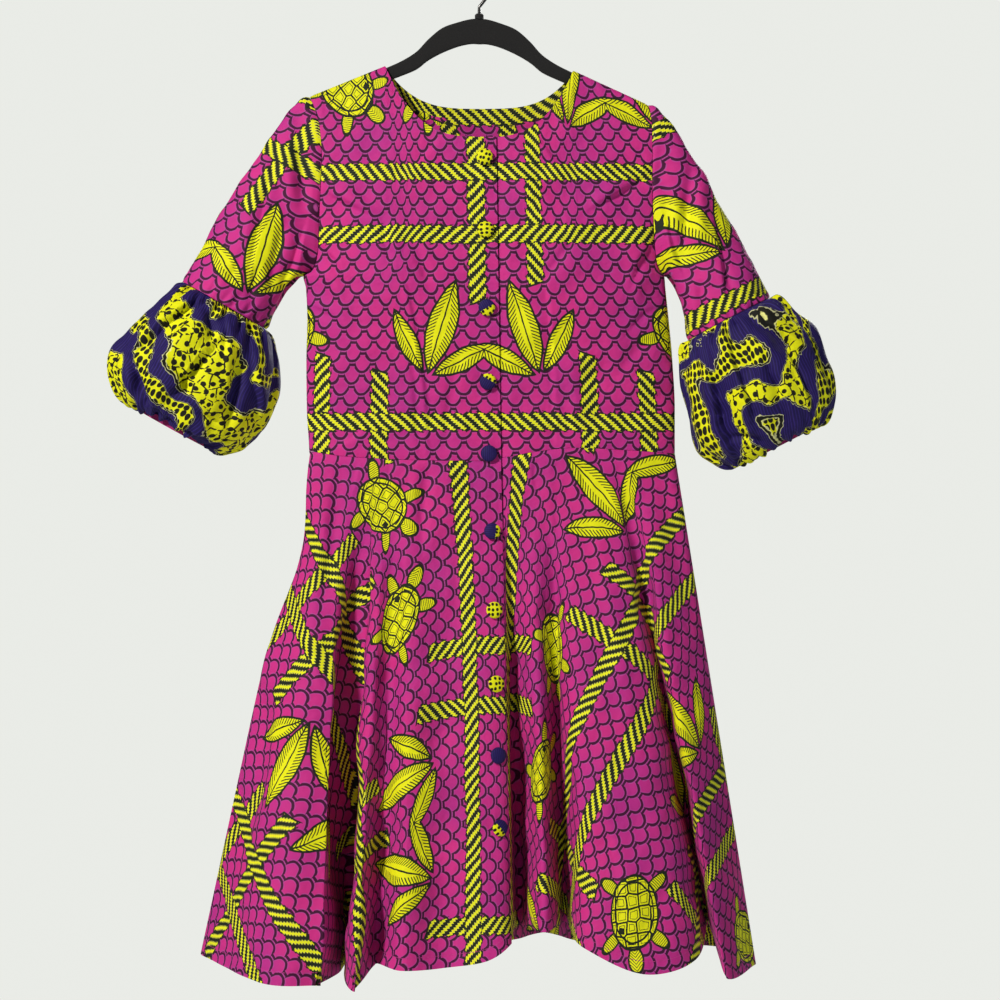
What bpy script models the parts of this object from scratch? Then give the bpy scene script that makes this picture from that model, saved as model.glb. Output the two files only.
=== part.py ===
"""A knee-length wax print dress with bubble cuffs, buttoned down the front, hanging on a flat hanger.

Sizes are millimetres and become metres in the meshes. +Z is up, +X is the viewer's right, which is the
wearer's left, and the front of the dress faces -Y. The origin is the inner top of the hanger's hook.
"""
import math

import bmesh
import bpy
from mathutils import Vector

MM = 0.001
SEAM = 0.3  # gap between pieces that are sewn together or rest on each other
CLOTH = 1.6  # wall of printed cotton with its pressed seam allowances
FACING = 1.0  # wall of the single layers at the neck and inside the cuffs

# Hanger
HOOK_BORE = 20.0  # inner radius of the hook's bend
HOOK_WIRE = 3.4
HANGER_DEPTH = 5.0
HANGER_TOP = -67.0
COLLAR_RADIUS = 4.7
COLLAR_TALL = 5.0
HANGER_SPAN = 200.0  # half the hanger's length
TILT = 0.025  # the hanger hangs a little lower at the viewer's right
# Sections of one arm: (across, top, tall)
HANGER_SECTIONS = (
    (0.0, -67.0, 27.0),
    (9.0, -67.5, 26.5),
    (22.0, -71.0, 26.0),
    (39.0, -77.5, 26.5),
    (54.0, -90.0, 22.5),
    (66.0, -103.0, 19.0),
    (80.0, -112.5, 16.0),
)
HANGER_END_TALL = 9.0

# Shoulders and neck
NECK_HALF = 100.0  # from the middle of the neck to the shoulder seam
NECK_MIDDLE = 3.5
SHOULDER_HEIGHT = -119.5  # top of the shoulder seam at the neck
SHOULDER_SLOPE = 0.431
SHOULDER_ROLL = 6.5  # radius of the cloth where it turns over the hanger
SHOULDER_SPREAD = 0.22  # how fast front and back part below the hanger
HANGER_UNDER_CLOTH = 2.6
FRONT_NECK = -196.0
BACK_NECK = -159.0
FRONT_NECK_CURVE = 3.05
BACK_NECK_CURVE = 3.5
FACING_DEEP = 46.0
FACING_ROWS = (0.0, 0.2, 0.55, 1.0)
FACING_SHORT = 6.0  # the facing ends this far before the shoulder seams
FACING_BEHIND = 0.5

# Bodice, whose right is the wearer's right at -X
UNDERARM = -341.0
TIP_RIGHT = -180.0
TIP_LEFT = 178.0
SIDE = ("height", "right", "left")
SIDE_SEAMS = (
    (-560.0, -181.0, 208.0),
    (-528.0, -181.0, 208.0),
    (-480.0, -183.5, 208.0),
    (-430.0, -184.0, 205.5),
    (-385.0, -183.0, 201.5),
    (-352.0, -184.5, 198.0),
    (-341.0, -187.0, 197.0),
    (-336.0, -178.5, 191.5),
    (-326.0, -172.0, 187.0),
    (-308.0, -169.0, 184.5),
    (-280.0, -168.0, 183.0),
    (-245.0, -166.5, 182.0),
    (-215.0, -165.5, 182.5),
    (-185.0, -168.0, 182.5),
    (-165.0, -173.0, 180.5),
    (-149.0, -180.0, 176.5),
)
DEPTH = ("height", "front", "back")
TORSO_DEPTHS = (
    (-560.0, 22.0, 20.0),
    (-528.0, 22.0, 20.0),
    (-460.0, 26.0, 22.0),
    (-400.0, 31.0, 25.0),
    (-330.0, 34.0, 27.0),
    (-260.0, 32.0, 27.0),
    (-200.0, 29.0, 26.0),
    (-140.0, 26.0, 24.0),
)
TORSO_ROUND = 2.6
ARMHOLE_SPREAD = 40.0  # how much wider than the armhole the torso's own curve is
ARMHOLE_SPREAD_HEIGHT = 120.0
BUSTS = ((-88.0, -312.0, 9.0, 52.0), (98.0, -312.0, 9.0, 52.0))  # (across, height, out, reach)
CENTRE_TOP = 4.0
CENTRE_WAIST = 13.5

# Front opening, where the wearer's right side laps over the left
EDGE_NECK = 18.0
EDGE_WAIST = 23.0
LAP = 25.0
LAP_GAP = 0.8
LAP_RISE = 12.0
WAIST = ("across", "right_front", "left_front", "back")
WAIST_HEIGHTS = (
    (-181.0, -525.0, -528.0, -525.0),
    (-140.0, -531.0, -528.0, -529.0),
    (-60.0, -535.0, -528.0, -533.0),
    (23.0, -536.0, -532.0, -534.0),
    (60.0, -536.0, -526.0, -533.0),
    (100.0, -536.0, -522.0, -532.0),
    (165.0, -537.0, -525.0, -529.0),
    (208.0, -537.0, -528.0, -528.0),
)
LOWER_ROWS = (0.0, 0.26, 0.52, 0.78)  # shares of the way from waist to underarm
ARMHOLE_ROWS = (0.0, 0.035, 0.095, 0.2, 0.38, 0.6, 0.8, 0.92, 0.965, 0.988, 1.0)
NECK_COLUMNS = (0.0, 0.26, 0.48, 0.66, 0.8, 0.91, 0.975, 1.0)
SHOULDER_COLUMNS = (0.22, 0.46, 0.7, 0.9, 1.0)

# Skirt folds at the hem, from the viewer's left to right, and how far down from the waist each one starts
HEM = ("waist", "hem", "out", "drop", "start", "hold", "steps")
FRONT_FOLDS = (
    (-181.0, -296.0, 0.0, -1058.0, 0.0, 0.13, 5),  # side seam
    (-152.0, -226.0, 98.0, -1066.0, 0.06, 0.05, 3),  # wide lobe
    (-130.0, -172.0, 80.0, -1068.0, 0.1, 0.0, 3),
    (-111.0, -143.0, 36.0, -1069.0, 0.12, 0.0, 3),  # deep valley
    (-99.0, -124.0, 102.0, -1073.0, 0.12, 0.0, 3),  # narrow ridge
    (-84.0, -108.0, 60.0, -1056.0, 0.1, 0.0, 3),
    (-66.0, -78.0, 98.0, -1054.0, 0.02, 0.0, 3),  # pleat from the waist dart
    (-33.0, -36.0, 80.0, -1055.0, 0.05, 0.0, 3),
    (-2.0, 9.0, 90.0, -1046.0, 0.05, 0.0, 2),  # where the lap starts
    (23.0, 34.0, 76.0, -1031.0, 0.08, 0.0, 1),  # edge of the opening
    (33.0, 45.0, 46.0, -1023.0, 0.15, 0.0, 3),  # shaded valley beside it
    (56.0, 71.0, 94.0, -1016.0, 0.1, 0.0, 3),
    (78.0, 94.0, 60.0, -1018.0, 0.05, 0.0, 3),  # pleat from the waist dart
    (98.0, 124.0, 98.0, -1032.0, 0.08, 0.0, 3),
    (115.0, 168.0, 114.0, -1054.0, 0.08, 0.0, 3),  # wide lobe
    (130.0, 216.0, 84.0, -1045.0, 0.05, 0.0, 3),
    (141.0, 244.0, 32.0, -1022.0, 0.02, 0.0, 3),  # deep valley
    (172.0, 268.0, 68.0, -1066.0, 0.04, 0.0, 3),
    (208.0, 294.0, 0.0, -1069.0, 0.0, 0.0, 0),  # side seam
)
BACK_FOLDS = (
    (208.0, 294.0, 0.0, -1069.0, 0.0, 0.0, 3),
    (180.0, 264.0, 66.0, -1066.0, 0.05, 0.0, 2),
    (152.0, 216.0, 26.0, -1050.0, 0.12, 0.0, 3),
    (121.0, 168.0, 96.0, -1058.0, 0.08, 0.0, 3),
    (90.0, 120.0, 30.0, -1050.0, 0.15, 0.0, 3),
    (56.0, 74.0, 102.0, -1056.0, 0.03, 0.0, 3),
    (22.0, 24.0, 36.0, -1048.0, 0.18, 0.0, 3),
    (-14.0, -32.0, 98.0, -1056.0, 0.08, 0.0, 3),
    (-48.0, -84.0, 32.0, -1050.0, 0.15, 0.0, 3),
    (-82.0, -136.0, 104.0, -1058.0, 0.03, 0.0, 3),
    (-115.0, -190.0, 28.0, -1052.0, 0.12, 0.0, 3),
    (-150.0, -246.0, 72.0, -1062.0, 0.06, 0.0, 3),
    (-181.0, -296.0, 0.0, -1058.0, 0.0, 0.13, 0),
)
EDGE_ROW = 9  # row of FRONT_FOLDS at the edge of the opening
SKIRT_ROWS = (0.0, 0.06, 0.14, 0.26, 0.4, 0.55, 0.7, 0.85, 1.0)
FOLD_START = 0.05
HOLD_AT = 0.2
HOLD_REACH = 0.13

# (x, z) of each end, the way across it towards the body, and half its width and depth
SLEEVE_ENDS = {
    "right": (-270.0, -371.0, 0.871, -0.492, 51.5, 41.0),
    "left": (264.5, -385.0, -0.888, -0.46, 49.5, 41.0),
}
SLEEVE_ROWS = (0.0, 0.12, 0.3, 0.5, 0.75, 1.0)
SLEEVE_SWELL_TOP = 10.5
SLEEVE_SWELL_UNDER = 10.0
SWELL_EARLY = 0.55  # below 1 puts the fullest place nearer the shoulder

# Bubble cuffs: (past the sleeve, reach to the outer side, to the inner side, to the front, gather)
CUFF_SECTIONS = {
    "right": (
        (0.0, 51.5, 51.5, 41.0, 0.0),
        (9.0, 55.0, 66.0, 50.0, 3.5),
        (26.0, 60.0, 82.0, 60.0, 6.0),
        (48.0, 68.0, 94.0, 67.0, 7.0),
        (76.0, 76.0, 100.0, 71.0, 7.0),
        (102.0, 81.0, 100.0, 70.0, 7.0),
        (121.0, 74.0, 94.0, 64.0, 6.0),
        (134.0, 58.0, 81.0, 54.0, 4.5),
        (138.0, 43.0, 68.0, 44.0, 2.5),
        (131.0, 34.0, 62.0, 38.0, 0.0),
    ),
    "left": (
        (0.0, 49.5, 49.5, 41.0, 0.0),
        (9.0, 60.0, 62.0, 50.0, 3.5),
        (30.0, 68.0, 73.0, 60.0, 6.0),
        (52.0, 76.0, 81.0, 67.0, 7.0),
        (78.0, 74.0, 88.0, 70.0, 7.0),
        (104.0, 70.0, 92.0, 69.0, 7.0),
        (123.0, 61.0, 88.0, 63.0, 6.0),
        (138.0, 47.0, 78.0, 54.0, 4.5),
        (142.0, 36.0, 68.0, 44.0, 2.5),
        (134.0, 28.0, 61.0, 38.0, 0.0),
    ),
}
GATHERS = (0.0, 0.085, 0.19, 0.27, 0.36, 0.47, 0.55, 0.65, 0.73, 0.83, 0.91)  # shares of a turn
GATHER_STEPS = (0.0, 0.3, 0.68)
GATHER_DEPTHS = (0.8, 1.0, 0.7, 1.0, 0.6, 0.9, 0.8, 1.0, 0.7, 1.0, 0.9)
BAND_INSIDE = 12.0
BAND_OUTSIDE = 9.0

# Covered buttons
# Covered button rings are (radius, out from the cloth), from its shank to its crown
BUTTON_RINGS = ((3.0, 0.0), (3.0, 1.5), (8.0, 1.5), (8.5, 2.6), (7.4, 4.4), (4.2, 5.6), (0.8, 6.0))
BUTTON_SIDES = 10
BUTTON_HEIGHTS = (-218.0, -295.0, -376.0, -453.0, -528.0, -610.0, -692.0, -768.0, -841.0, -914.0)


def clear_scene():
    for thing in list(bpy.data.objects):
        bpy.data.objects.remove(thing, do_unlink=True)


def material(name, colour, roughness, metallic=0.0):
    made = bpy.data.materials.new(name)
    made.use_nodes = True
    shader = made.node_tree.nodes["Principled BSDF"]
    shader.inputs["Base Color"].default_value = (*colour, 1.0)
    shader.inputs["Roughness"].default_value = roughness
    shader.inputs["Metallic"].default_value = metallic
    made.diffuse_color = (*colour, 1.0)
    return made


def mix(first, second, share):
    return first + (second - first) * share


def column(table, names, wanted):
    place = names.index(wanted)
    return [row[place] for row in table]


def smooth(xs, ys, x):
    """A curve through the points of a table that doesn't overshoot them, held level past its ends."""
    if x <= xs[0]:
        return ys[0]
    if x >= xs[-1]:
        return ys[-1]
    slopes = [(ys[i + 1] - ys[i]) / (xs[i + 1] - xs[i]) for i in range(len(xs) - 1)]
    i = max(k for k in range(len(xs) - 1) if xs[k] <= x)
    ends = []
    for k in (i, i + 1):
        if k == 0 or k == len(xs) - 1:
            ends.append(slopes[min(k, len(slopes) - 1)])
        elif slopes[k - 1] * slopes[k] <= 0:
            ends.append(0.0)
        else:
            ends.append(2 * slopes[k - 1] * slopes[k] / (slopes[k - 1] + slopes[k]))
    wide = xs[i + 1] - xs[i]
    t = (x - xs[i]) / wide
    return (
        ys[i] * (1 + 2 * t) * (1 - t) ** 2
        + ends[0] * wide * t * (1 - t) ** 2
        + ys[i + 1] * t * t * (3 - 2 * t)
        + ends[1] * wide * t * t * (t - 1)
    )


def reading(table, names, wanted, x):
    return smooth(column(table, names, names[0]), column(table, names, wanted), x)


def rounded(values, place):
    """A value between the rows of a fold table, on a curve with round ridges and valleys."""
    last = len(values) - 1
    i = min(int(place), last - 1)
    t = place - i
    before = values[i - 1] if i else 2 * values[0] - values[1]
    after = values[i + 2] if i + 2 <= last else 2 * values[last] - values[last - 1]
    here, there = values[i], values[i + 1]
    return 0.5 * (
        2 * here
        + (there - before) * t
        + (2 * before - 5 * here + 4 * there - after) * t * t
        + (3 * here - before - 3 * there + after) * t ** 3
    )


def shoulder_line(x):
    return SHOULDER_HEIGHT - SHOULDER_SLOPE * (abs(x) - NECK_HALF) - TILT * x


def neck_line(x, face):
    middle = FRONT_NECK if face == "front" else BACK_NECK
    power = FRONT_NECK_CURVE if face == "front" else BACK_NECK_CURVE
    side = math.copysign(NECK_HALF, x - NECK_MIDDLE)
    reach = abs(x - NECK_MIDDLE) / abs(side - NECK_MIDDLE)
    return middle + (shoulder_line(side) - middle) * reach ** power


def top_line(x, face):
    return shoulder_line(x) if abs(x) >= NECK_HALF else neck_line(x, face)


def side_line(z, side):
    return reading(SIDE_SEAMS, SIDE, side, z)


def centre_line(z):
    return mix(CENTRE_WAIST, CENTRE_TOP, min(1.0, max(0.0, (z + 528.0) / 400.0)))


def edge_line(z):
    return mix(EDGE_WAIST, EDGE_NECK, min(1.0, max(0.0, (z + 528.0) / 332.0)))


def torso_depth(x, z, face):
    """How far the front or back stands from the plane of the hanger."""
    centre = centre_line(z)
    side = "right" if x < centre else "left"
    rise = min(1.0, max(0.0, (z - UNDERARM) / ARMHOLE_SPREAD_HEIGHT))
    half = abs(side_line(z, side) - centre) + ARMHOLE_SPREAD * rise ** 0.8
    reach = min(1.0, abs(x - centre) / half)
    body = reading(TORSO_DEPTHS, DEPTH, face, z) * (1 - reach ** TORSO_ROUND) ** (1 / TORSO_ROUND)
    if face == "front":
        for across, height, out, wide in BUSTS:
            body += out * math.exp(-((x - across) ** 2 + (z - height) ** 2) / (2 * wide ** 2)) * (1 - reach ** 4)
    below = shoulder_line(x) - z
    if below < SHOULDER_ROLL:
        over = math.sqrt(max(0.0, SHOULDER_ROLL ** 2 - (SHOULDER_ROLL - max(0.0, below)) ** 2))
    else:
        over = SHOULDER_ROLL + SHOULDER_SPREAD * (below - SHOULDER_ROLL)
    if body < 1e-3 or over < 1e-3:
        return 0.0
    return (body ** -3 + over ** -3) ** (-1 / 3)


def torso_point(x, z, face):
    toward = -1.0 if face == "front" else 1.0
    return Vector((x, toward * (torso_depth(x, z, face) + SEAM / 2), z))


def waist_height(x, piece):
    return reading(WAIST_HEIGHTS, WAIST, piece, x)


def skirt_point(folds, place, down, face, piece):
    """A point of the skirt: place counts rows of the fold table, down runs from the waist to the hem."""
    waist, hem, out, drop, start, hold = (
        rounded(column(folds, HEM, name), place) for name in HEM[:6]
    )
    right, left = SIDE_SEAMS[0][1:]
    waist = min(left, max(right, waist))
    top = torso_point(waist, waist_height(waist, piece), face)
    top.z -= SEAM
    held = hold * math.exp(-(((down - HOLD_AT) / HOLD_REACH) ** 2)) if down else 0.0
    x = mix(waist, hem, down - held)
    run = max(0.0, (down - max(0.0, start)) / (1 - max(0.0, start)))
    share = (1 + FOLD_START) * run * run / (run + FOLD_START)
    toward = -1.0 if face == "front" else 1.0
    y = mix(top.y, toward * (max(0.0, out) + SEAM / 2), share)
    return Vector((x, y, mix(top.z, drop, down)))


def normals_of(grid, closed=False, facing=None):
    """Outward directions of a grid of points, one list per row, from the neighbours of each point."""
    rows, count = len(grid), len(grid[0])
    found = []
    for j in range(rows):
        line = []
        for i in range(count):
            if closed:
                side = grid[j][(i + 1) % count] - grid[j][i - 1]
            else:
                side = grid[j][min(i + 1, count - 1)] - grid[j][max(i - 1, 0)]
            along = grid[min(j + 1, rows - 1)][i] - grid[max(j - 1, 0)][i]
            line.append(side.cross(along).normalized())
        found.append(line)
    if facing is None:
        total = 0.0
        for j in range(rows):
            middle = sum(grid[j], Vector()) / count
            total += sum(found[j][i].dot(grid[j][i] - middle) for i in range(count))
    else:
        total = sum(normal.dot(facing) for line in found for normal in line)
    if total < 0:
        found = [[-normal for normal in line] for line in found]
    return found


def flatten(normal, axis):
    kept = normal.copy()
    kept[axis] = 0.0
    return kept.normalized()


def offset(grid, normals, by):
    return [[p - n * by for p, n in zip(*pair)] for pair in zip(grid, normals)]


def shell(name, outer, inner, finish, closed=False):
    """A closed wall between an outer and an inner grid of points."""
    mesh = bpy.data.meshes.new(name)
    shape = bmesh.new()
    rows, count = len(outer), len(outer[0])
    out = [[shape.verts.new(p * MM) for p in line] for line in outer]
    within = [[shape.verts.new(p * MM) for p in line] for line in inner]
    spans = count if closed else count - 1
    for j in range(rows - 1):
        for i in range(spans):
            k = (i + 1) % count
            shape.faces.new((out[j][i], out[j][k], out[j + 1][k], out[j + 1][i]))
            shape.faces.new((within[j][i], within[j + 1][i], within[j + 1][k], within[j][k]))
    for i in range(spans):
        k = (i + 1) % count
        shape.faces.new((out[0][i], within[0][i], within[0][k], out[0][k]))
        shape.faces.new((out[-1][i], out[-1][k], within[-1][k], within[-1][i]))
    if not closed:
        for j in range(rows - 1):
            shape.faces.new((out[j][0], out[j + 1][0], within[j + 1][0], within[j][0]))
            shape.faces.new((out[j][-1], within[j][-1], within[j + 1][-1], out[j + 1][-1]))
    bmesh.ops.recalc_face_normals(shape, faces=shape.faces)
    shape.to_mesh(mesh)
    shape.free()
    return place(name, mesh, finish)


def place(name, mesh, finish):
    mesh.materials.append(finish)
    mesh.shade_smooth()
    mesh.set_sharp_from_angle(angle=math.radians(50))
    thing = bpy.data.objects.new(name, mesh)
    bpy.context.scene.collection.objects.link(thing)
    return thing


def row_shares(side):
    """Shares of the way up a bodice column, with one row level with the underarm at the side."""
    bottom = waist_height(side_line(-528.0, side), "back")
    tip = shoulder_line(TIP_RIGHT if side == "right" else TIP_LEFT)
    underarm = (UNDERARM - bottom) / (tip - bottom)
    return [share * underarm for share in LOWER_ROWS] + [mix(underarm, 1.0, share) for share in ARMHOLE_ROWS]


def column_top(line, face):
    z = -150.0
    for _ in range(40):
        z = mix(z, top_line(line(z), face), 0.6)
    return z


def neck_share(start, side):
    """Share of the way from a starting line to the shoulder tip at which the neck ends."""
    tip = TIP_RIGHT if side == "right" else TIP_LEFT
    neck = math.copysign(NECK_HALF, tip)
    begin = start(shoulder_line(neck))
    return (neck - begin) / (side_line(shoulder_line(neck), side) - begin)


def panel_columns(start, side):
    """Lines from a starting line out to the side, with one that ends where the neck meets the shoulder."""
    neck = neck_share(start, side)
    shares = [share * neck for share in NECK_COLUMNS] + [mix(neck, 1.0, share) for share in SHOULDER_COLUMNS]
    return [lambda z, share=share: mix(start(z), side_line(z, side), share) for share in shares]


def bodice_grid(lines, shares, face, piece):
    grid = [[] for _ in shares[0]]
    for line, levels in zip(lines, shares):
        bottom = waist_height(line(-528.0), piece)
        top = column_top(line, face)
        for j, share in enumerate(levels):
            z = mix(bottom, top, share)
            grid[j].append(torso_point(line(z), z, face))
    return grid


def tidy_edges(grid, normals, sides):
    """Squares off the wall at the waist, the shoulder seams and the side seams."""
    for i in range(len(grid[0])):
        normals[0][i] = flatten(normals[0][i], 2)
        if abs(grid[-1][i].x) >= NECK_HALF - 0.5:
            normals[-1][i] = Vector((math.copysign(SHOULDER_SLOPE, grid[-1][i].x), 0.0, 1.0)).normalized()
    for i, sign in sides:
        for j in range(len(LOWER_ROWS) + 1):
            normals[j][i] = Vector((sign, 0.0, 0.0))


def build_bodice_fronts(finish):
    """The two fronts, the wearer's right one over the left, and their armhole edges."""
    made = {}
    over = row_shares("right")
    lap = [lambda z, back=back: edge_line(z) - back for back in (0.0, LAP / 2, LAP)]
    lines = lap[:2] + panel_columns(lap[2], "right")
    grid = bodice_grid(lines, [over] * len(lines), "front", "right_front")
    normals = normals_of(grid, facing=Vector((0, -1, 0)))
    tidy_edges(grid, normals, [(len(lines) - 1, -1.0)])
    inner = offset(grid, normals, CLOTH)
    shell("bodice_front_right", grid, inner, finish)
    made["right"] = (grid, inner, normals, -1)

    under = row_shares("left")
    risen = lambda z: edge_line(z) + LAP_RISE
    lines = [lap[2], lap[1], lap[0]] + panel_columns(risen, "left")
    grid = bodice_grid(lines, [under] * len(lines), "front", "left_front")
    normals = normals_of(grid, facing=Vector((0, -1, 0)))
    for j, line in enumerate(grid):
        for i in range(len(lap)):
            line[i] = line[i] - normals[j][i] * (CLOTH + LAP_GAP)
    tidy_edges(grid, normals, [(len(lines) - 1, 1.0)])
    inner = offset(grid, normals, CLOTH)
    shell("bodice_front_left", grid, inner, finish)
    made["left"] = (grid, inner, normals, -1)
    return made


def build_bodice_back(finish):
    right = panel_columns(centre_line, "right")
    left = panel_columns(centre_line, "left")
    lines = right[::-1] + left[1:]
    far_right, far_left = row_shares("right"), row_shares("left")
    shares = []
    for i in range(len(lines)):
        across = i / (len(lines) - 1)
        shares.append([mix(a, b, across) for a, b in zip(far_right, far_left)])
    grid = bodice_grid(lines, shares, "back", "back")
    normals = normals_of(grid, facing=Vector((0, 1, 0)))
    tidy_edges(grid, normals, [(0, -1.0), (len(lines) - 1, 1.0)])
    inner = offset(grid, normals, CLOTH)
    shell("bodice_back", grid, inner, finish)
    return {"right": (grid, inner, normals, 0), "left": (grid, inner, normals, -1)}


def build_neck_facing(finish):
    """The strip that faces the back neck, just inside the back."""
    lines = panel_columns(centre_line, "right")[::-1] + panel_columns(centre_line, "left")[1:]
    lines = [line for line in lines if abs(line(-130.0)) < NECK_HALF - FACING_SHORT]
    grid = []
    for deep in FACING_ROWS:
        row = []
        for line in lines:
            top = column_top(line, "back")
            z = top - FACING_DEEP * deep
            row.append(torso_point(line(z), z, "back"))
        grid.append(row)
    normals = normals_of(grid, facing=Vector((0, 1, 0)))
    behind = CLOTH + FACING_BEHIND
    shell("neck_facing_back", offset(grid, normals, behind), offset(grid, normals, behind + FACING), finish)


def skirt_grid(folds, places, face, piece):
    return [[skirt_point(folds, place, down, face, piece) for place in places] for down in SKIRT_ROWS]


def fold_places(folds, first, last):
    places = []
    for row in range(first, last):
        steps = folds[row][-1]
        places += [row + step / steps for step in range(steps)]
    return places + [float(last)]


def square_skirt(normals, sides):
    for i in range(len(normals[0])):
        normals[0][i] = flatten(normals[0][i], 2)
    for line in normals:
        for i in sides:
            line[i] = flatten(line[i], 1)


def build_skirt(finish):
    last = len(FRONT_FOLDS) - 1
    lap_places = [EDGE_ROW - 1.0, EDGE_ROW - 0.5, float(EDGE_ROW)]
    places = fold_places(FRONT_FOLDS, 0, EDGE_ROW - 1)[:-1] + lap_places
    grid = skirt_grid(FRONT_FOLDS, places, "front", "right_front")
    normals = normals_of(grid, facing=Vector((0, -1, 0)))
    square_skirt(normals, [0])
    shell("skirt_front_right", grid, offset(grid, normals, CLOTH), finish)
    opening, over = grid, [line[-len(lap_places):] for line in normals]

    places = lap_places + fold_places(FRONT_FOLDS, EDGE_ROW + 1, last)
    grid = skirt_grid(FRONT_FOLDS, places, "front", "left_front")
    for line, directions in zip(grid, over):
        for i, direction in enumerate(directions):
            line[i] = line[i] - direction * (CLOTH + LAP_GAP)
    normals = normals_of(grid, facing=Vector((0, -1, 0)))
    square_skirt(normals, [len(places) - 1])
    shell("skirt_front_left", grid, offset(grid, normals, CLOTH), finish)

    places = fold_places(BACK_FOLDS, 0, len(BACK_FOLDS) - 1)
    grid = skirt_grid(BACK_FOLDS, places, "back", "back")
    normals = normals_of(grid, facing=Vector((0, 1, 0)))
    square_skirt(normals, [0, len(places) - 1])
    shell("skirt_back", grid, offset(grid, normals, CLOTH), finish)
    return opening


def armhole_edge(panel, from_top):
    """Points, inner points, wall directions and ways out of the cloth along one armhole edge."""
    grid, inner, normals, last = panel
    before = 1 if last == 0 else -2
    rows = list(range(len(LOWER_ROWS), len(grid)))
    if from_top:
        rows.reverse()
    found = []
    for j in rows:
        above, below = grid[min(j + 1, len(grid) - 1)][last], grid[max(j - 1, 0)][last]
        run = (above - below).normalized()
        way = grid[j][last] - grid[j][before]
        way = (way - run * way.dot(run)).normalized()
        found.append((grid[j][last], inner[j][last], normals[j][last], way))
    return found


def joined(first, second):
    """The average of two armhole places that meet at a seam."""
    point, within, normal, way = ((a + b) / 2 for a, b in zip(first, second))
    return point, within, normal.normalized(), way.normalized()


def sleeve_frame(side):
    x, z, along_x, along_z, half, deep = SLEEVE_ENDS[side]
    across = Vector((along_x, 0.0, along_z)).normalized()
    axis = Vector((across.z, 0.0, -across.x)) if side == "right" else Vector((-across.z, 0.0, across.x))
    return Vector((x, 0.0, z)), across, axis, half, deep


def turned(side, share, outer, inner, deep):
    """A place on an oval across the sleeve: 0 is its outer side, a quarter turn is its front."""
    across = sleeve_frame(side)[1]
    angle = 2 * math.pi * share
    reach = math.cos(angle)
    return across * (-reach * (outer if reach > 0 else inner)) + Vector((0, -deep * math.sin(angle), 0))


def build_sleeve(side, fronts, backs, finish):
    front = armhole_edge(fronts[side], True)
    back = armhole_edge(backs[side], False)
    loop = [joined(front[0], back[-1])] + front[1:-1] + [joined(front[-1], back[0])] + back[1:-1]
    count = len(loop)
    start = [point + way * SEAM for point, _, _, way in loop]
    centre, across, axis, half, deep = sleeve_frame(side)
    end = [centre + turned(side, i / count, half, half, deep) - axis * (SEAM / 2) for i in range(count)]
    grid = []
    for share in SLEEVE_ROWS:
        line = []
        for i in range(count):
            reach = math.cos(2 * math.pi * i / count)
            swell = SLEEVE_SWELL_TOP if reach > 0 else SLEEVE_SWELL_UNDER
            push = swell * reach ** 2 * math.sin(math.pi * share ** SWELL_EARLY)
            line.append(mix(start[i], end[i], share) - across * push)
        grid.append(line)
    normals = normals_of(grid, closed=True)
    inner = offset(grid, normals, CLOTH)
    for i, (_, within, normal, way) in enumerate(loop):
        if normal.dot(normals[0][i]) > 0.2:
            inner[0][i] = within + way * SEAM
        else:
            middle = (normal + normals[0][i]).normalized()
            inner[0][i] = grid[0][i] - middle * CLOTH
    for i in range(count):
        flat = normals[-1][i] - axis * normals[-1][i].dot(axis)
        inner[-1][i] = grid[-1][i] - flat.normalized() * CLOTH
    shell("sleeve_" + side, grid, inner, finish, closed=True)


def gather_places():
    """Shares of a turn for a cuff's points, with the depth of the gather at each."""
    found = []
    for k, share in enumerate(GATHERS):
        following = GATHERS[k + 1] if k + 1 < len(GATHERS) else 1.0
        for step in GATHER_STEPS:
            found.append((mix(share, following, step), 0.0 if step else GATHER_DEPTHS[k]))
    return found


def build_cuff(side, finish, lining):
    """The bubble cuff, drawn back up inside itself to the narrow band that holds it."""
    centre, across, axis, _, _ = sleeve_frame(side)
    turns = gather_places()
    grid = []
    for past, outer, inner, deep, gather in CUFF_SECTIONS[side]:
        line = []
        for share, depth in turns:
            out = turned(side, share, outer, inner, deep)
            out -= out.normalized() * gather * depth
            line.append(centre + axis * (past + SEAM / 2) + out)
        grid.append(line)
    normals = normals_of(grid, closed=True)
    for i, normal in enumerate(normals[0]):
        normals[0][i] = (normal - axis * normal.dot(axis)).normalized()
    for i, normal in enumerate(normals[-1]):
        toward = (grid[-1][i] - grid[-2][i]).normalized()
        normals[-1][i] = (normal - toward * normal.dot(toward)).normalized()
    shell("cuff_" + side, grid, offset(grid, normals, CLOTH), finish, closed=True)

    past, outer, inner, deep, _ = CUFF_SECTIONS[side][-1]
    walls = []
    for inset in (2 * SEAM, 2 * SEAM + FACING):
        walls.append([])
        for level in (past - BAND_INSIDE, past + BAND_OUTSIDE):
            ring = []
            for share, _ in turns:
                out = turned(side, share, outer - inset, inner - inset, deep - inset)
                ring.append(centre + axis * (level + SEAM / 2) + out)
            walls[-1].append(ring)
    shell("cuff_band_" + side, walls[0], walls[1], lining, closed=True)


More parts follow.
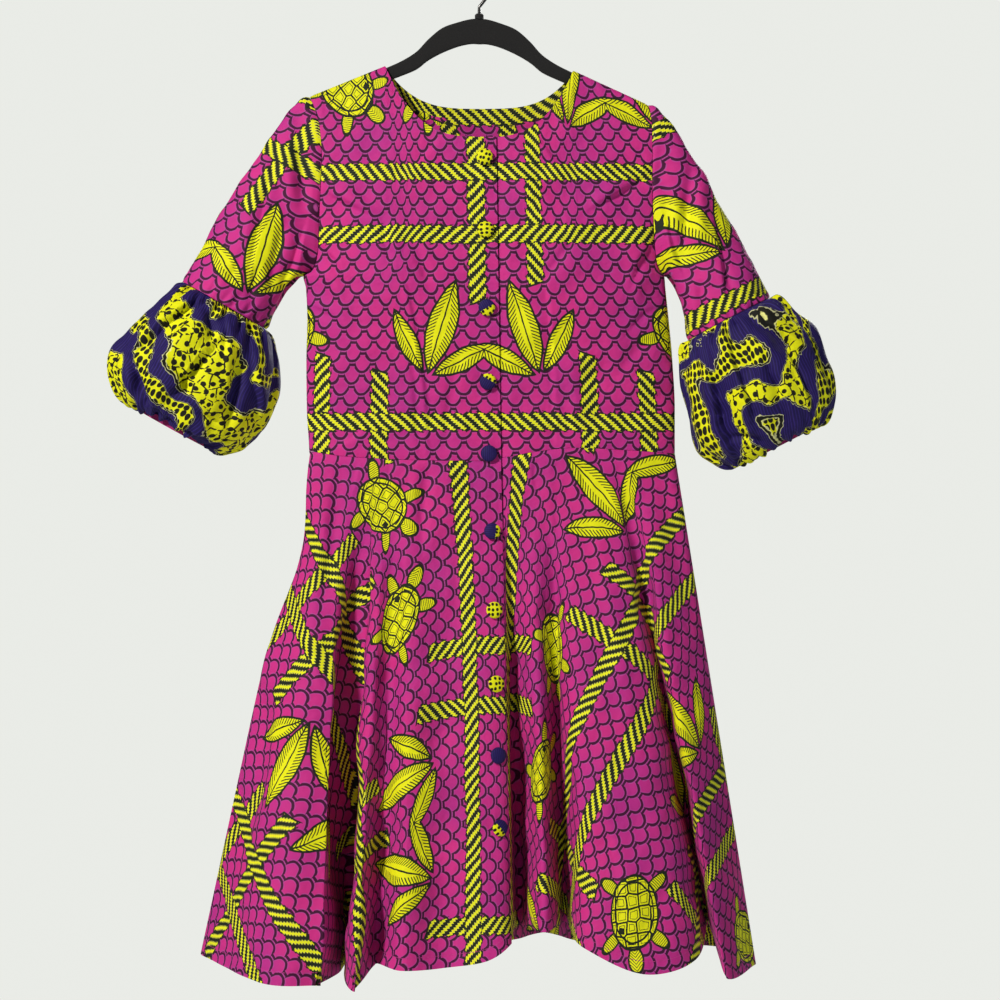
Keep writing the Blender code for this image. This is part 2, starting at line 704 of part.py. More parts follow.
def turned_solid(name, rings, sides, centre, facing, finish):
    """A round solid from (radius, out) rings about an axis that points the way it faces."""
    mesh = bpy.data.meshes.new(name)
    shape = bmesh.new()
    turn = Vector((0, 0, 1)).rotation_difference(facing)
    loops = []
    for radius, out in rings:
        loop = []
        for k in range(sides):
            angle = 2 * math.pi * k / sides
            local = Vector((radius * math.cos(angle), radius * math.sin(angle), out))
            loop.append(shape.verts.new((centre + turn @ local) * MM))
        loops.append(loop)
    for low, high in zip(loops, loops[1:]):
        for k in range(sides):
            shape.faces.new((low[k], low[(k + 1) % sides], high[(k + 1) % sides], high[k]))
    shape.faces.new(loops[0][::-1])
    shape.faces.new(loops[-1])
    bmesh.ops.recalc_face_normals(shape, faces=shape.faces)
    shape.to_mesh(mesh)
    shape.free()
    return place(name, mesh, finish)


def seat_at(grid, i, edge, height):
    """The point of one grid column at a height, and the direction that the cloth faces there."""
    for low, high in zip(grid, grid[1:]):
        if high[i].z < low[i].z:
            low, high = high, low
        if low[i].z <= height <= high[i].z:
            share = (height - low[i].z) / (high[i].z - low[i].z)
            seat = mix(low[i], high[i], share)
            beside = mix(low[edge], high[edge], share)
            return seat, (beside - seat).cross(high[i] - low[i]).normalized()
    raise ValueError("no cloth at this height")


def build_buttons(bodice, skirt, finish):
    """Ten covered buttons down the middle of the lap, square to the cloth under them."""
    waist = skirt[0][-2].z
    for number, height in enumerate(BUTTON_HEIGHTS, start=1):
        if height > waist:
            seat, facing = seat_at(bodice, 1, 0, height)
        else:
            seat, facing = seat_at(skirt, -2, -1, height)
        name = "button_%02d" % number
        turned_solid(name, BUTTON_RINGS, BUTTON_SIDES, seat + facing * SEAM, facing, finish)


def build_hanger(finish):
    """The flat arms, a bar that arches over the neck and lies under both shoulder seams."""
    def section(x, top, tall):
        half, edge = HANGER_DEPTH / 2, 1.4
        return [
            Vector((x, y, z))
            for y, z in (
                (-edge, top),
                (edge, top),
                (half, top - 1.8),
                (half, top - tall + 1.8),
                (edge, top - tall),
                (-edge, top - tall),
                (-half, top - tall + 1.8),
                (-half, top - 1.8),
            )
        ]

    def arm(sign):
        found = [(sign * x, top - TILT * sign * x, tall) for x, top, tall in HANGER_SECTIONS]
        for x, tall in ((96.0, 14.5), (125.0, 14.0), (150.0, 13.5), (172.0, 12.5)):
            found.append((sign * x, shoulder_line(sign * x) - HANGER_UNDER_CLOTH, tall))
        for x, drop, tall in ((182.0, 2.0, 12.0), (192.0, 8.0, 10.5), (HANGER_SPAN, 15.0, HANGER_END_TALL)):
            found.append((sign * x, shoulder_line(sign * x) - HANGER_UNDER_CLOTH - drop, tall))
        return found

    sections = arm(-1)[:0:-1] + arm(1)
    mesh = bpy.data.meshes.new("hanger")
    shape = bmesh.new()
    loops = [[shape.verts.new(p * MM) for p in section(*row)] for row in sections]
    for low, high in zip(loops, loops[1:]):
        for k in range(8):
            shape.faces.new((low[k], low[(k + 1) % 8], high[(k + 1) % 8], high[k]))
    shape.faces.new(loops[0][::-1])
    shape.faces.new(loops[-1])
    bmesh.ops.recalc_face_normals(shape, faces=shape.faces)
    shape.to_mesh(mesh)
    shape.free()
    place("hanger", mesh, finish)


def build_hook(collar_finish, wire_finish):
    """A wire hook on a collar: straight up, then round the rod and down past its far side."""
    foot = HANGER_TOP + SEAM
    rings = ((COLLAR_RADIUS, 0.0), (COLLAR_RADIUS, COLLAR_TALL - 1.2), (COLLAR_RADIUS - 1.2, COLLAR_TALL))
    turned_solid("hanger_collar", rings, 12, Vector((0, 0, foot)), Vector((0, 0, 1)), collar_finish)
    bend = HOOK_BORE + HOOK_WIRE / 2
    centre = Vector((0, 0, -HOOK_BORE))
    low = foot + COLLAR_TALL + SEAM
    path = [Vector((0, 0, low)), Vector((0, 0, low + 7))]
    for degrees in range(-50, 196, 15):
        angle = math.radians(degrees)
        path.append(centre + Vector((bend * math.cos(angle), 0, bend * math.sin(angle))))
    sides, loops = 8, []
    mesh = bpy.data.meshes.new("hanger_hook")
    shape = bmesh.new()
    for i, point in enumerate(path):
        run = (path[min(i + 1, len(path) - 1)] - path[max(i - 1, 0)]).normalized()
        if i == 0:
            run = Vector((0, 0, 1))
        out = run.cross(Vector((0, 1, 0)))
        loop = []
        for k in range(sides):
            angle = 2 * math.pi * k / sides
            ring = out * math.cos(angle) + Vector((0, 1, 0)) * math.sin(angle)
            loop.append(shape.verts.new((point + ring * (HOOK_WIRE / 2)) * MM))
        loops.append(loop)
    for low_ring, high_ring in zip(loops, loops[1:]):
        for k in range(sides):
            shape.faces.new((low_ring[k], low_ring[(k + 1) % sides], high_ring[(k + 1) % sides], high_ring[k]))
    shape.faces.new(loops[0][::-1])
    shape.faces.new(loops[-1])
    bmesh.ops.recalc_face_normals(shape, faces=shape.faces)
    shape.to_mesh(mesh)
    shape.free()
    place("hanger_hook", mesh, wire_finish)


def build():
    clear_scene()
    cotton = material("printed magenta cotton", (0.68, 0.02, 0.29), 0.75)
    contrast = material("printed navy and yellow cotton", (0.05, 0.02, 0.22), 0.75)
    covered = material("cotton covered button", (0.8, 0.78, 0.02), 0.6)
    plain = material("plain magenta cotton", (0.62, 0.02, 0.27), 0.8)
    velvet = material("black flocked plastic", (0.008, 0.008, 0.009), 0.95)
    wire = material("black coated wire", (0.01, 0.01, 0.01), 0.35, 0.6)
    fronts = build_bodice_fronts(cotton)
    backs = build_bodice_back(cotton)
    build_neck_facing(cotton)
    opening = build_skirt(cotton)
    for side in ("right", "left"):
        build_sleeve(side, fronts, backs, cotton)
        build_cuff(side, contrast, plain)
    build_buttons(fronts["right"][0], opening, covered)
    build_hanger(velvet)
    build_hook(velvet, wire)


build()
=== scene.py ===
import math

import bmesh
import bpy
import numpy as np
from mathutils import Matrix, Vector


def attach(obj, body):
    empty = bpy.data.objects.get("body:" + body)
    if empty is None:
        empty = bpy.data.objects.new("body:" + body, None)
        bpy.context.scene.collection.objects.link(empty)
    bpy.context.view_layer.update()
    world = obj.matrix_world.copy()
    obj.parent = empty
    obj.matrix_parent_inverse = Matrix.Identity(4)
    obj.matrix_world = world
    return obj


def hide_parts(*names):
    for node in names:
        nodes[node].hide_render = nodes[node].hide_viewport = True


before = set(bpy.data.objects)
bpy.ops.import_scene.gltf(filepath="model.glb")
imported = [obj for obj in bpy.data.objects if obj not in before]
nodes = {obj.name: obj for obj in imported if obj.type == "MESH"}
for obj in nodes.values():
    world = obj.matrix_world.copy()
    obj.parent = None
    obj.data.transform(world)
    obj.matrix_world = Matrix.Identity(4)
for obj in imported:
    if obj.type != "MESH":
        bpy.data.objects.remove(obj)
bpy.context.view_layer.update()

mm = 0.001  # every size below is in millimetres
seamGap = 0.3
clothThick = 0.9


def mix(first, second, share):
    return first + (second - first) * share


def linear(code):
    # sRGB hex to the linear colour that a shader takes
    parts = [int(code[i:i + 2], 16) / 255 for i in (1, 3, 5)]
    return tuple(p / 12.92 if p <= 0.04045 else ((p + 0.055) / 1.055) ** 2.4 for p in parts) + (1.0,)


def fill(tree, node, *values, **named):
    # values go to the shown sockets in order; a name such as sheenWeight is a socket, or else a setting of the node
    sockets = {socket.name.replace(" ", "").lower(): socket for socket in reversed(node.inputs)}
    for key in [key for key in named if key.lower() not in sockets]:
        setattr(node, key, named.pop(key))
    shown = [socket for socket in node.inputs if socket.enabled]
    pairs = [*zip(shown, values), *((sockets[key.lower()], value) for key, value in named.items())]
    for socket, value in pairs:
        if isinstance(value, bpy.types.Node):
            value = next(output for output in value.outputs if output.enabled)
        if isinstance(value, bpy.types.NodeSocket):
            tree.links.new(value, socket)
        else:
            socket.default_value = value
    return node


def addNode(tree, kind, *values, **named):
    # "Math ADD" is a Math node that adds
    kind, _, does = kind.partition(" ")
    node = tree.nodes.new("ShaderNode" + kind)
    if does:
        setattr(node, "data_type" if kind == "Mix" else "operation", does)
    return fill(tree, node, *values, **named)


def newMaterial(name):
    made = bpy.data.materials.new(name)
    made.use_nodes = True
    tree = made.node_tree
    add = lambda kind, *values, **named: addNode(tree, kind, *values, **named)
    surface = lambda **named: fill(tree, tree.nodes["Principled BSDF"], **named)
    return made, add, surface


def flatMm(add):
    # the cloth's flat cut, in millimetres
    return add("VectorMath MULTIPLY", add("UVMap", uv_map="flatCut"), (1000, 1000, 0))


# camera, light and floor

view = {
    "lens": 74.7, "across": 22, "away": 2200, "height": -577,
    "roomGlow": (0.08, 0.95), "floorGlow": (0.0, 0.3),  # as light, and to the camera
    "floorReach": 3.6, "floorLevel": -2.2,  # metres
}


def buildStage():
    camera = bpy.data.objects.new("camera", bpy.data.cameras.new("camera"))
    camera.data.lens = view["lens"]
    camera.data.sensor_width = 36
    camera.data.clip_end = 50
    camera.location = Vector((view["across"], -view["away"], view["height"])) * mm
    camera.rotation_euler = (math.radians(90), 0, 0)
    bpy.context.scene.collection.objects.link(camera)
    bpy.context.scene.camera = camera

    # x, y, z, size, watts, warm or cool white
    for name, place, size, watts, colour in (
        ("windowLight", (-2.5, -3.1, 1.7), 0.5, 192, "#fffaf2"),
        ("roomFill", (2.7, -1.2, -0.5), 2.0, 14, "#f4f8ff"),
        ("backFill", (1.2, 2.6, 0.9), 1.2, 74, "#ffffff"),
    ):
        lamp = bpy.data.lights.new(name, "AREA")
        lamp.size = size
        lamp.energy = watts
        lamp.color = linear(colour)[:3]
        holder = bpy.data.objects.new(name, lamp)
        holder.location = place
        holder.rotation_euler = (Vector((0, 0, -0.55)) - Vector(place)).to_track_quat("-Z", "Y").to_euler()
        bpy.context.scene.collection.objects.link(holder)

    # the room is bright to look at, but the lamps above light the cloth
    world = bpy.data.worlds.new("paleRoom")
    world.use_nodes = True
    tree = world.node_tree
    strength = addNode(tree, "MapRange", addNode(tree, "LightPath"), 0.0, 1.0, *view["roomGlow"])
    fill(tree, tree.nodes["Background"], color=linear("#eff1ec"), strength=strength)
    bpy.context.scene.world = world
    bpy.context.scene.view_settings.view_transform = "Standard"

    floorMesh = bpy.data.meshes.new("floor")
    reach, level = view["floorReach"], view["floorLevel"]
    corners = [(x, y, level) for x, y in ((-reach, -reach), (reach, -reach), (reach, reach), (-reach, reach))]
    floorMesh.from_pydata(corners, [], [(0, 1, 2, 3)])
    floor = bpy.data.objects.new("floor", floorMesh)
    paint, add, surface = newMaterial("pale matt paint")  # rolled wall paint, no gloss
    glow = add("MapRange", add("LightPath"), 0.0, 1.0, *view["floorGlow"])
    colour = linear("#e6e8e4")
    surface(baseColor=colour, roughness=0.95, emissionColor=colour, emissionStrength=glow)
    floorMesh.materials.append(paint)
    bpy.context.scene.collection.objects.link(floor)


buildStage()
print("stage ready")


# the dress's own surfaces, the same curves as its solids but finer

sideSeams = {
    "height": (-560, -528, -480, -430, -385, -352, -341, -336, -326, -308, -280, -245, -215, -185, -165, -149),
    "right": (
        -181, -181, -183.5, -184, -183, -184.5, -187, -178.5, -172, -169, -168, -166.5, -165.5, -168, -173, -180,
    ),
    "left": (208, 208, 208, 205.5, 201.5, 198, 197, 191.5, 187, 184.5, 183, 182, 182.5, 182.5, 180.5, 176.5),
}
torsoDepths = {
    "height": (-560, -528, -460, -400, -330, -260, -200, -140),
    "front": (22, 22, 26, 31, 34, 32, 29, 26),
    "back": (20, 20, 22, 25, 27, 27, 26, 24),
}
waistHeights = {
    "across": (-181, -140, -60, 23, 60, 100, 165, 208),
    "rightFront": (-525, -531, -535, -536, -536, -536, -537, -537),
    "leftFront": (-528, -528, -528, -532, -526, -522, -525, -528),
    "back": (-525, -529, -533, -534, -533, -532, -529, -528),
}
bodice = {
    "neckHalf": 100.0, "neckMiddle": 3.5, "shoulderHeight": -119.5, "slope": 0.431, "tilt": 0.025,
    "roll": 6.5, "spread": 0.22,  # how the cloth turns over the hanger and parts below it
    "frontNeck": (-196.0, 3.05), "backNeck": (-159.0, 3.5),
    "underarm": -341.0, "tips": {"right": -180.0, "left": 178.0},
    "round": 2.6, "armholeSpread": 40.0, "armholeReach": 120.0,
    "busts": ((-88, -312, 9, 52), (98, -312, 9, 52)),  # across, height, out, reach
    "waist": -528, "centre": (13.5, 4.0, 400), "edge": (23.0, 18.0, 332),  # across at the waist, at the neck, way up
    "lap": 25.0, "lapGap": 0.8, "lapRise": 12.0, "wall": 1.6,
    "lowerRows": (0, 0.26, 0.52, 0.78),
    "armholeRows": (0, 0.035, 0.095, 0.2, 0.38, 0.6, 0.8, 0.92, 0.965, 0.988, 1),
    "neckColumns": (0, 0.26, 0.48, 0.66, 0.8, 0.91, 0.975, 1),
    "shoulderColumns": (0.22, 0.46, 0.7, 0.9, 1),
    "rowSteps": (20, 20, 20, 20, 4, 6, 10, 16, 20, 18, 11, 5, 3, 2),
    "frontSteps": (6, 6, 12, 10, 9, 7, 5, 3, 2, 8, 8, 8, 7, 4),
    "backSteps": (9, 8, 6, 5, 4, 2, 1, 6, 6, 6, 5, 3),
    "swells": ((1.3, 60, 0), (0.5, 24, 50)),  # how high and how long, and a number for the draw
    "calmRows": 14, "calmSides": 12, "waistDip": 1.0, "seamDip": 0.7,
    "facingHalf": 94, "facingTall": 46.0,
}


def reading(table, wanted, at, key="height"):
    # a curve through the table's points that doesn't overshoot them
    xs, ys = np.array(table[key], float), np.array(table[wanted], float)
    at = np.clip(at, xs[0], xs[-1])
    slopes = np.diff(ys) / np.diff(xs)
    ends = np.zeros(len(xs))
    ends[0], ends[-1] = slopes[0], slopes[-1]
    before, after = slopes[:-1], slopes[1:]
    same = before * after > 0
    ends[1:-1][same] = 2 * before[same] * after[same] / (before[same] + after[same])
    i = np.clip(np.searchsorted(xs, at, side="right") - 1, 0, len(xs) - 2)
    wide = xs[i + 1] - xs[i]
    t = (at - xs[i]) / wide
    return (
        ys[i] * (1 + 2 * t) * (1 - t) ** 2 + ends[i] * wide * t * (1 - t) ** 2
        + ys[i + 1] * t * t * (3 - 2 * t) + ends[i + 1] * wide * t * t * (t - 1)
    )


def rounded(values, place):
    # Catmull-Rom through the rows of a fold table, so ridges and valleys are round
    values = np.array(values, float)
    padded = np.concatenate([[2 * values[0] - values[1]], values, [2 * values[-1] - values[-2]]])
    i = np.clip(place.astype(int), 0, len(values) - 2)
    t = place - i
    before, here, there, after = padded[i], padded[i + 1], padded[i + 2], padded[i + 3]
    return 0.5 * (
        2 * here + (there - before) * t + (2 * before - 5 * here + 4 * there - after) * t * t
        + (3 * here - before - 3 * there + after) * t ** 3
    )


def placesBetween(steps):
    # positions that cut each stretch of a coarse row into its own number of steps
    found = [k + np.arange(count) / count for k, count in enumerate(steps)]
    return np.append(np.concatenate(found), float(len(steps)))


def finer(values, places):
    return np.interp(places, np.arange(len(values)), values)


def near(away, wide):
    # 1 at the place itself, and soon nothing beyond that width
    return np.exp(-(away / wide) ** 2)


def rising(away, reach):
    return np.clip(away / reach, 0, 1)


def shoulderLine(x):
    return bodice["shoulderHeight"] - bodice["slope"] * (np.abs(x) - bodice["neckHalf"]) - bodice["tilt"] * x


def topLine(x, face):
    middle, power = bodice[face + "Neck"]
    side = np.copysign(bodice["neckHalf"], x - bodice["neckMiddle"])
    reach = np.abs(x - bodice["neckMiddle"]) / np.abs(side - bodice["neckMiddle"])
    neck = middle + (shoulderLine(side) - middle) * reach ** power
    return np.where(np.abs(x) >= bodice["neckHalf"], shoulderLine(x), neck)


def upFromWaist(line, z):
    atWaist, atNeck, wayUp = bodice[line]
    return mix(atWaist, atNeck, np.clip((z - bodice["waist"]) / wayUp, 0, 1))


def centreLine(z):
    return upFromWaist("centre", z)


def edgeLine(z):
    return upFromWaist("edge", z)


def sideAt(z, isRight):
    return np.where(isRight, reading(sideSeams, "right", z), reading(sideSeams, "left", z))


def topHeights(across, face, count):
    # where a panel's lines meet the shoulder and the neck, found in small steps
    top = np.full(count, -150.0)  # a first guess, between the two
    for _ in range(40):
        top = mix(top, topLine(across(top), face), 0.6)
    return top


def torsoPoints(x, z, face):
    x, z = np.broadcast_arrays(np.asarray(x, float), np.asarray(z, float))
    centre = centreLine(z)
    side = sideAt(z, x < centre)
    rise = np.clip((z - bodice["underarm"]) / bodice["armholeReach"], 0, 1)
    half = np.abs(side - centre) + bodice["armholeSpread"] * rise ** 0.8
    reach = np.minimum(1, np.abs(x - centre) / half)
    body = reading(torsoDepths, face, z) * (1 - reach ** bodice["round"]) ** (1 / bodice["round"])
    if face == "front":
        for across, height, out, wide in bodice["busts"]:
            away = (x - across) ** 2 + (z - height) ** 2
            body = body + out * np.exp(-away / (2 * wide ** 2)) * (1 - reach ** 4)
    below = shoulderLine(x) - z
    roll = bodice["roll"]
    turn = np.sqrt(np.maximum(0, roll ** 2 - (roll - np.maximum(0, below)) ** 2))
    over = np.where(below < roll, turn, roll + bodice["spread"] * (below - roll))
    depth = (np.maximum(body, 1e-3) ** -3.0 + np.maximum(over, 1e-3) ** -3.0) ** (-1 / 3)
    toward = -1 if face == "front" else 1
    return np.stack([x, toward * (depth + seamGap / 2), z], axis=-1)


def normalsOf(grid, closed=False, facing=None):
    if closed:
        across = np.roll(grid, -1, axis=1) - np.roll(grid, 1, axis=1)
    else:
        across = np.empty_like(grid)
        across[:, 1:-1] = grid[:, 2:] - grid[:, :-2]
        across[:, 0], across[:, -1] = grid[:, 1] - grid[:, 0], grid[:, -1] - grid[:, -2]
    along = np.empty_like(grid)
    along[1:-1] = grid[2:] - grid[:-2]
    along[0], along[-1] = grid[1] - grid[0], grid[-1] - grid[-2]
    found = np.cross(across, along)
    found /= np.maximum(np.linalg.norm(found, axis=-1, keepdims=True), 1e-9)
    if facing is None:
        total = np.sum(found * (grid - grid.mean(axis=1, keepdims=True)))
    else:
        total = np.sum(found * np.array(facing))
    return found if total > 0 else -found


def flattened(normals, axis):
    kept = normals.copy()
    kept[..., axis] = 0
    return kept / np.maximum(np.linalg.norm(kept, axis=-1, keepdims=True), 1e-9)


def pushed(grid, normals, by):
    return grid + normals * np.asarray(by)[..., None] if np.ndim(by) else grid + normals * by


def runOf(grid, axis):
    # distance along the cloth from the first point of each row or column
    steps = np.linalg.norm(np.diff(grid, axis=axis), axis=-1)
    return np.insert(np.cumsum(steps, axis=axis), 0, 0, axis=axis)


def clothPiece(name, outer, inner, flat, finish, closed=False):
    # a closed wall between two grids of points, with the cloth's flat cut as its UV map, in metres
    rows, count = outer.shape[:2]
    points = np.concatenate([outer.reshape(-1, 3), inner.reshape(-1, 3)]) * mm
    faces, maps = [], []

    def addQuads(turned, *corners):
        # each corner has a row, a column, and 1 on the inner side
        corners = corners[::-1] if turned else corners
        faces.append(np.stack([(side * rows + row) * count + column % count for row, column, side in corners], 1))
        maps.append(np.stack([flat[row, column] for row, column, side in corners], 1))

    spans, steps = np.arange(count if closed else count - 1), np.arange(rows - 1)
    j, i = (part.ravel() for part in np.meshgrid(steps, spans, indexing="ij"))
    for side in (0, 1):
        addQuads(side, (j, i, side), (j, i + 1, side), (j + 1, i + 1, side), (j + 1, i, side))
    for row in (0, rows - 1):
        addQuads(row, (row, spans, 0), (row, spans, 1), (row, spans + 1, 1), (row, spans + 1, 0))
    for column in () if closed else (0, count - 1):
        addQuads(column, (steps, column, 0), (steps + 1, column, 0), (steps + 1, column, 1), (steps, column, 1))
    return addMesh(name, points, np.concatenate(faces), finish, np.concatenate(maps) * mm)


def ringPiece(name, rings, finish, flat=None):
    # a solid of closed rings with a face over each end
    rows, count = rings.shape[:2]
    faces = [
        ((j, i), (j, (i + 1) % count), (j + 1, (i + 1) % count), (j + 1, i))
        for j in range(rows - 1) for i in range(count)
    ]
    faces += [[(row, i) for i in range(count)] for row in (0, rows - 1)]
    maps = None if flat is None else np.array([flat[corner] for face in faces for corner in face]) * mm
    faces = [[j * count + i for j, i in face] for face in faces]
    return addMesh(name, rings.reshape(-1, 3) * mm, faces, finish, maps)


def addMesh(name, points, faces, finish, maps=None):
    mesh = bpy.data.meshes.new(name)
    mesh.from_pydata(np.asarray(points).tolist(), [], [list(face) for face in faces])
    if maps is not None:
        layer = mesh.uv_layers.new(name="flatCut")
        layer.data.foreach_set("uv", np.ascontiguousarray(maps, dtype=np.float32).ravel())
    mesh.materials.append(finish)
    bm = bmesh.new()
    bm.from_mesh(mesh)
    bmesh.ops.recalc_face_normals(bm, faces=bm.faces)
    bm.to_mesh(mesh)
    bm.free()
    mesh.shade_smooth()
    mesh.set_sharp_from_angle(angle=math.radians(55))
    thing = bpy.data.objects.new(name, mesh)
    bpy.context.scene.collection.objects.link(thing)
    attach(thing, "root")
    return thing


def nearPath(x, z, path):
    # distance from each point to a given crease, its side of it, and how far along it that is
    nearest, share, hand = np.full(x.shape, 1e9), np.zeros(x.shape), np.ones(x.shape)
    lengths = [math.dist(a, b) for a, b in zip(path, path[1:])]
    run, total = 0.0, sum(lengths)
    for (x0, z0), (x1, z1), length in zip(path, path[1:], lengths):
        dx, dz = x1 - x0, z1 - z0
        t = np.clip(((x - x0) * dx + (z - z0) * dz) / length ** 2, 0, 1)
        away = np.hypot(x - x0 - t * dx, z - z0 - t * dz)
        closer = away < nearest
        nearest = np.where(closer, away, nearest)
        share = np.where(closer, (run + t * length) / total, share)
        hand = np.where(closer, ((x - x0) * dz - (z - z0) * dx) / length, hand)
        run += length
    return nearest, share, hand


def creased(grid, rows, facing=-1, normals=None):
    # sum of the creases on the points that face the viewer, or away from them
    x, z = grid[..., 0], grid[..., 2]
    total = np.zeros(x.shape)
    for out, wide, path, *lapped in rows:
        away, share, hand = nearPath(x, z, path)
        profile = np.exp(-(away / wide) ** 2)
        if lapped:
            # a fold that stands on the left of its path and drops on the right
            profile = -np.tanh(hand / 1.6) * np.exp(-away / np.where(hand < 0, 1.6 * wide, wide))
        total += out * profile * np.sin(np.pi * np.clip(share, 0.03, 0.97)) ** 0.6
    if normals is not None:
        total *= np.clip(normals[..., 1] * facing * 2.5, 0, 1)
    return total


def uneven(grid, size, seed):
    # slow swells of the cloth, from a few waves in fixed directions
    spin = np.random.default_rng(seed)
    total = np.zeros(grid.shape[:2])
    for _ in range(6):
        way = spin.normal(size=3)
        way *= 2 * np.pi / (np.linalg.norm(way) * size * spin.uniform(0.7, 1.6))
        total += np.sin(grid @ way + spin.uniform(0, 6.28))
    return total / 3


def hang(piece, node):
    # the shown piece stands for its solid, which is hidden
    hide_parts(node)


# materials

printSizes = {
    "cup": 21.9, "row": 11.6, "cupHalf": 8.4, "cupDeep": 7.6, "round": 2.5, "line": 1.4, "halo": 2.1,
    "tileTall": 262.0, "tileLong": 286.0, "tileShift": 0.41,  # each row of tiles starts further along
    "cordGap": 33.0, "tieGap": 31.0, "tieReach": 96.0, "cordHalf": 9.5, "strand": 11.7,
    "sprayAt": (-82, -52, 0), "sprayTurn": -18,
    "leaves": ((0, 56, 50, 15), (46, 44, 36, 11)),  # turn, out, long, wide
    "tortoiseAt": (78, -6, 0), "tortoiseTurn": 38, "shell": (37, 27, 30.0),  # half sizes, and a mean one
    "legAt": (27, 26, 0), "legTurn": -52, "leg": (15, 6.5, 8.0), "headAt": (47, 0, 0), "head": (13, 8, 9.0),
    "ground": "#d62f8c", "groundViolet": "#bf2c8f", "lineColour": "#430d36", "haloColour": "#b05aae",
    "yellow": "#f0f20c", "pale": "#f6f7a0", "black": "#1c2417",
}


def tileNumber(add, value, length):
    return add("Math FLOOR", add("Math DIVIDE", value, length))


def inTile(add, value, length):
    # how far the place lies from the middle of its tile
    return add("Math SUBTRACT", add("Math FLOORED_MODULO", value, length), length / 2)


def fromOval(add, place, sizes):
    # about how far outside an oval's edge the place lies
    wide, tall, mean = sizes
    away = add("VectorMath LENGTH", add("VectorMath MULTIPLY", place, (1 / wide, 1 / tall, 0)))
    return add("Math MULTIPLY_ADD", away, mean, -mean)


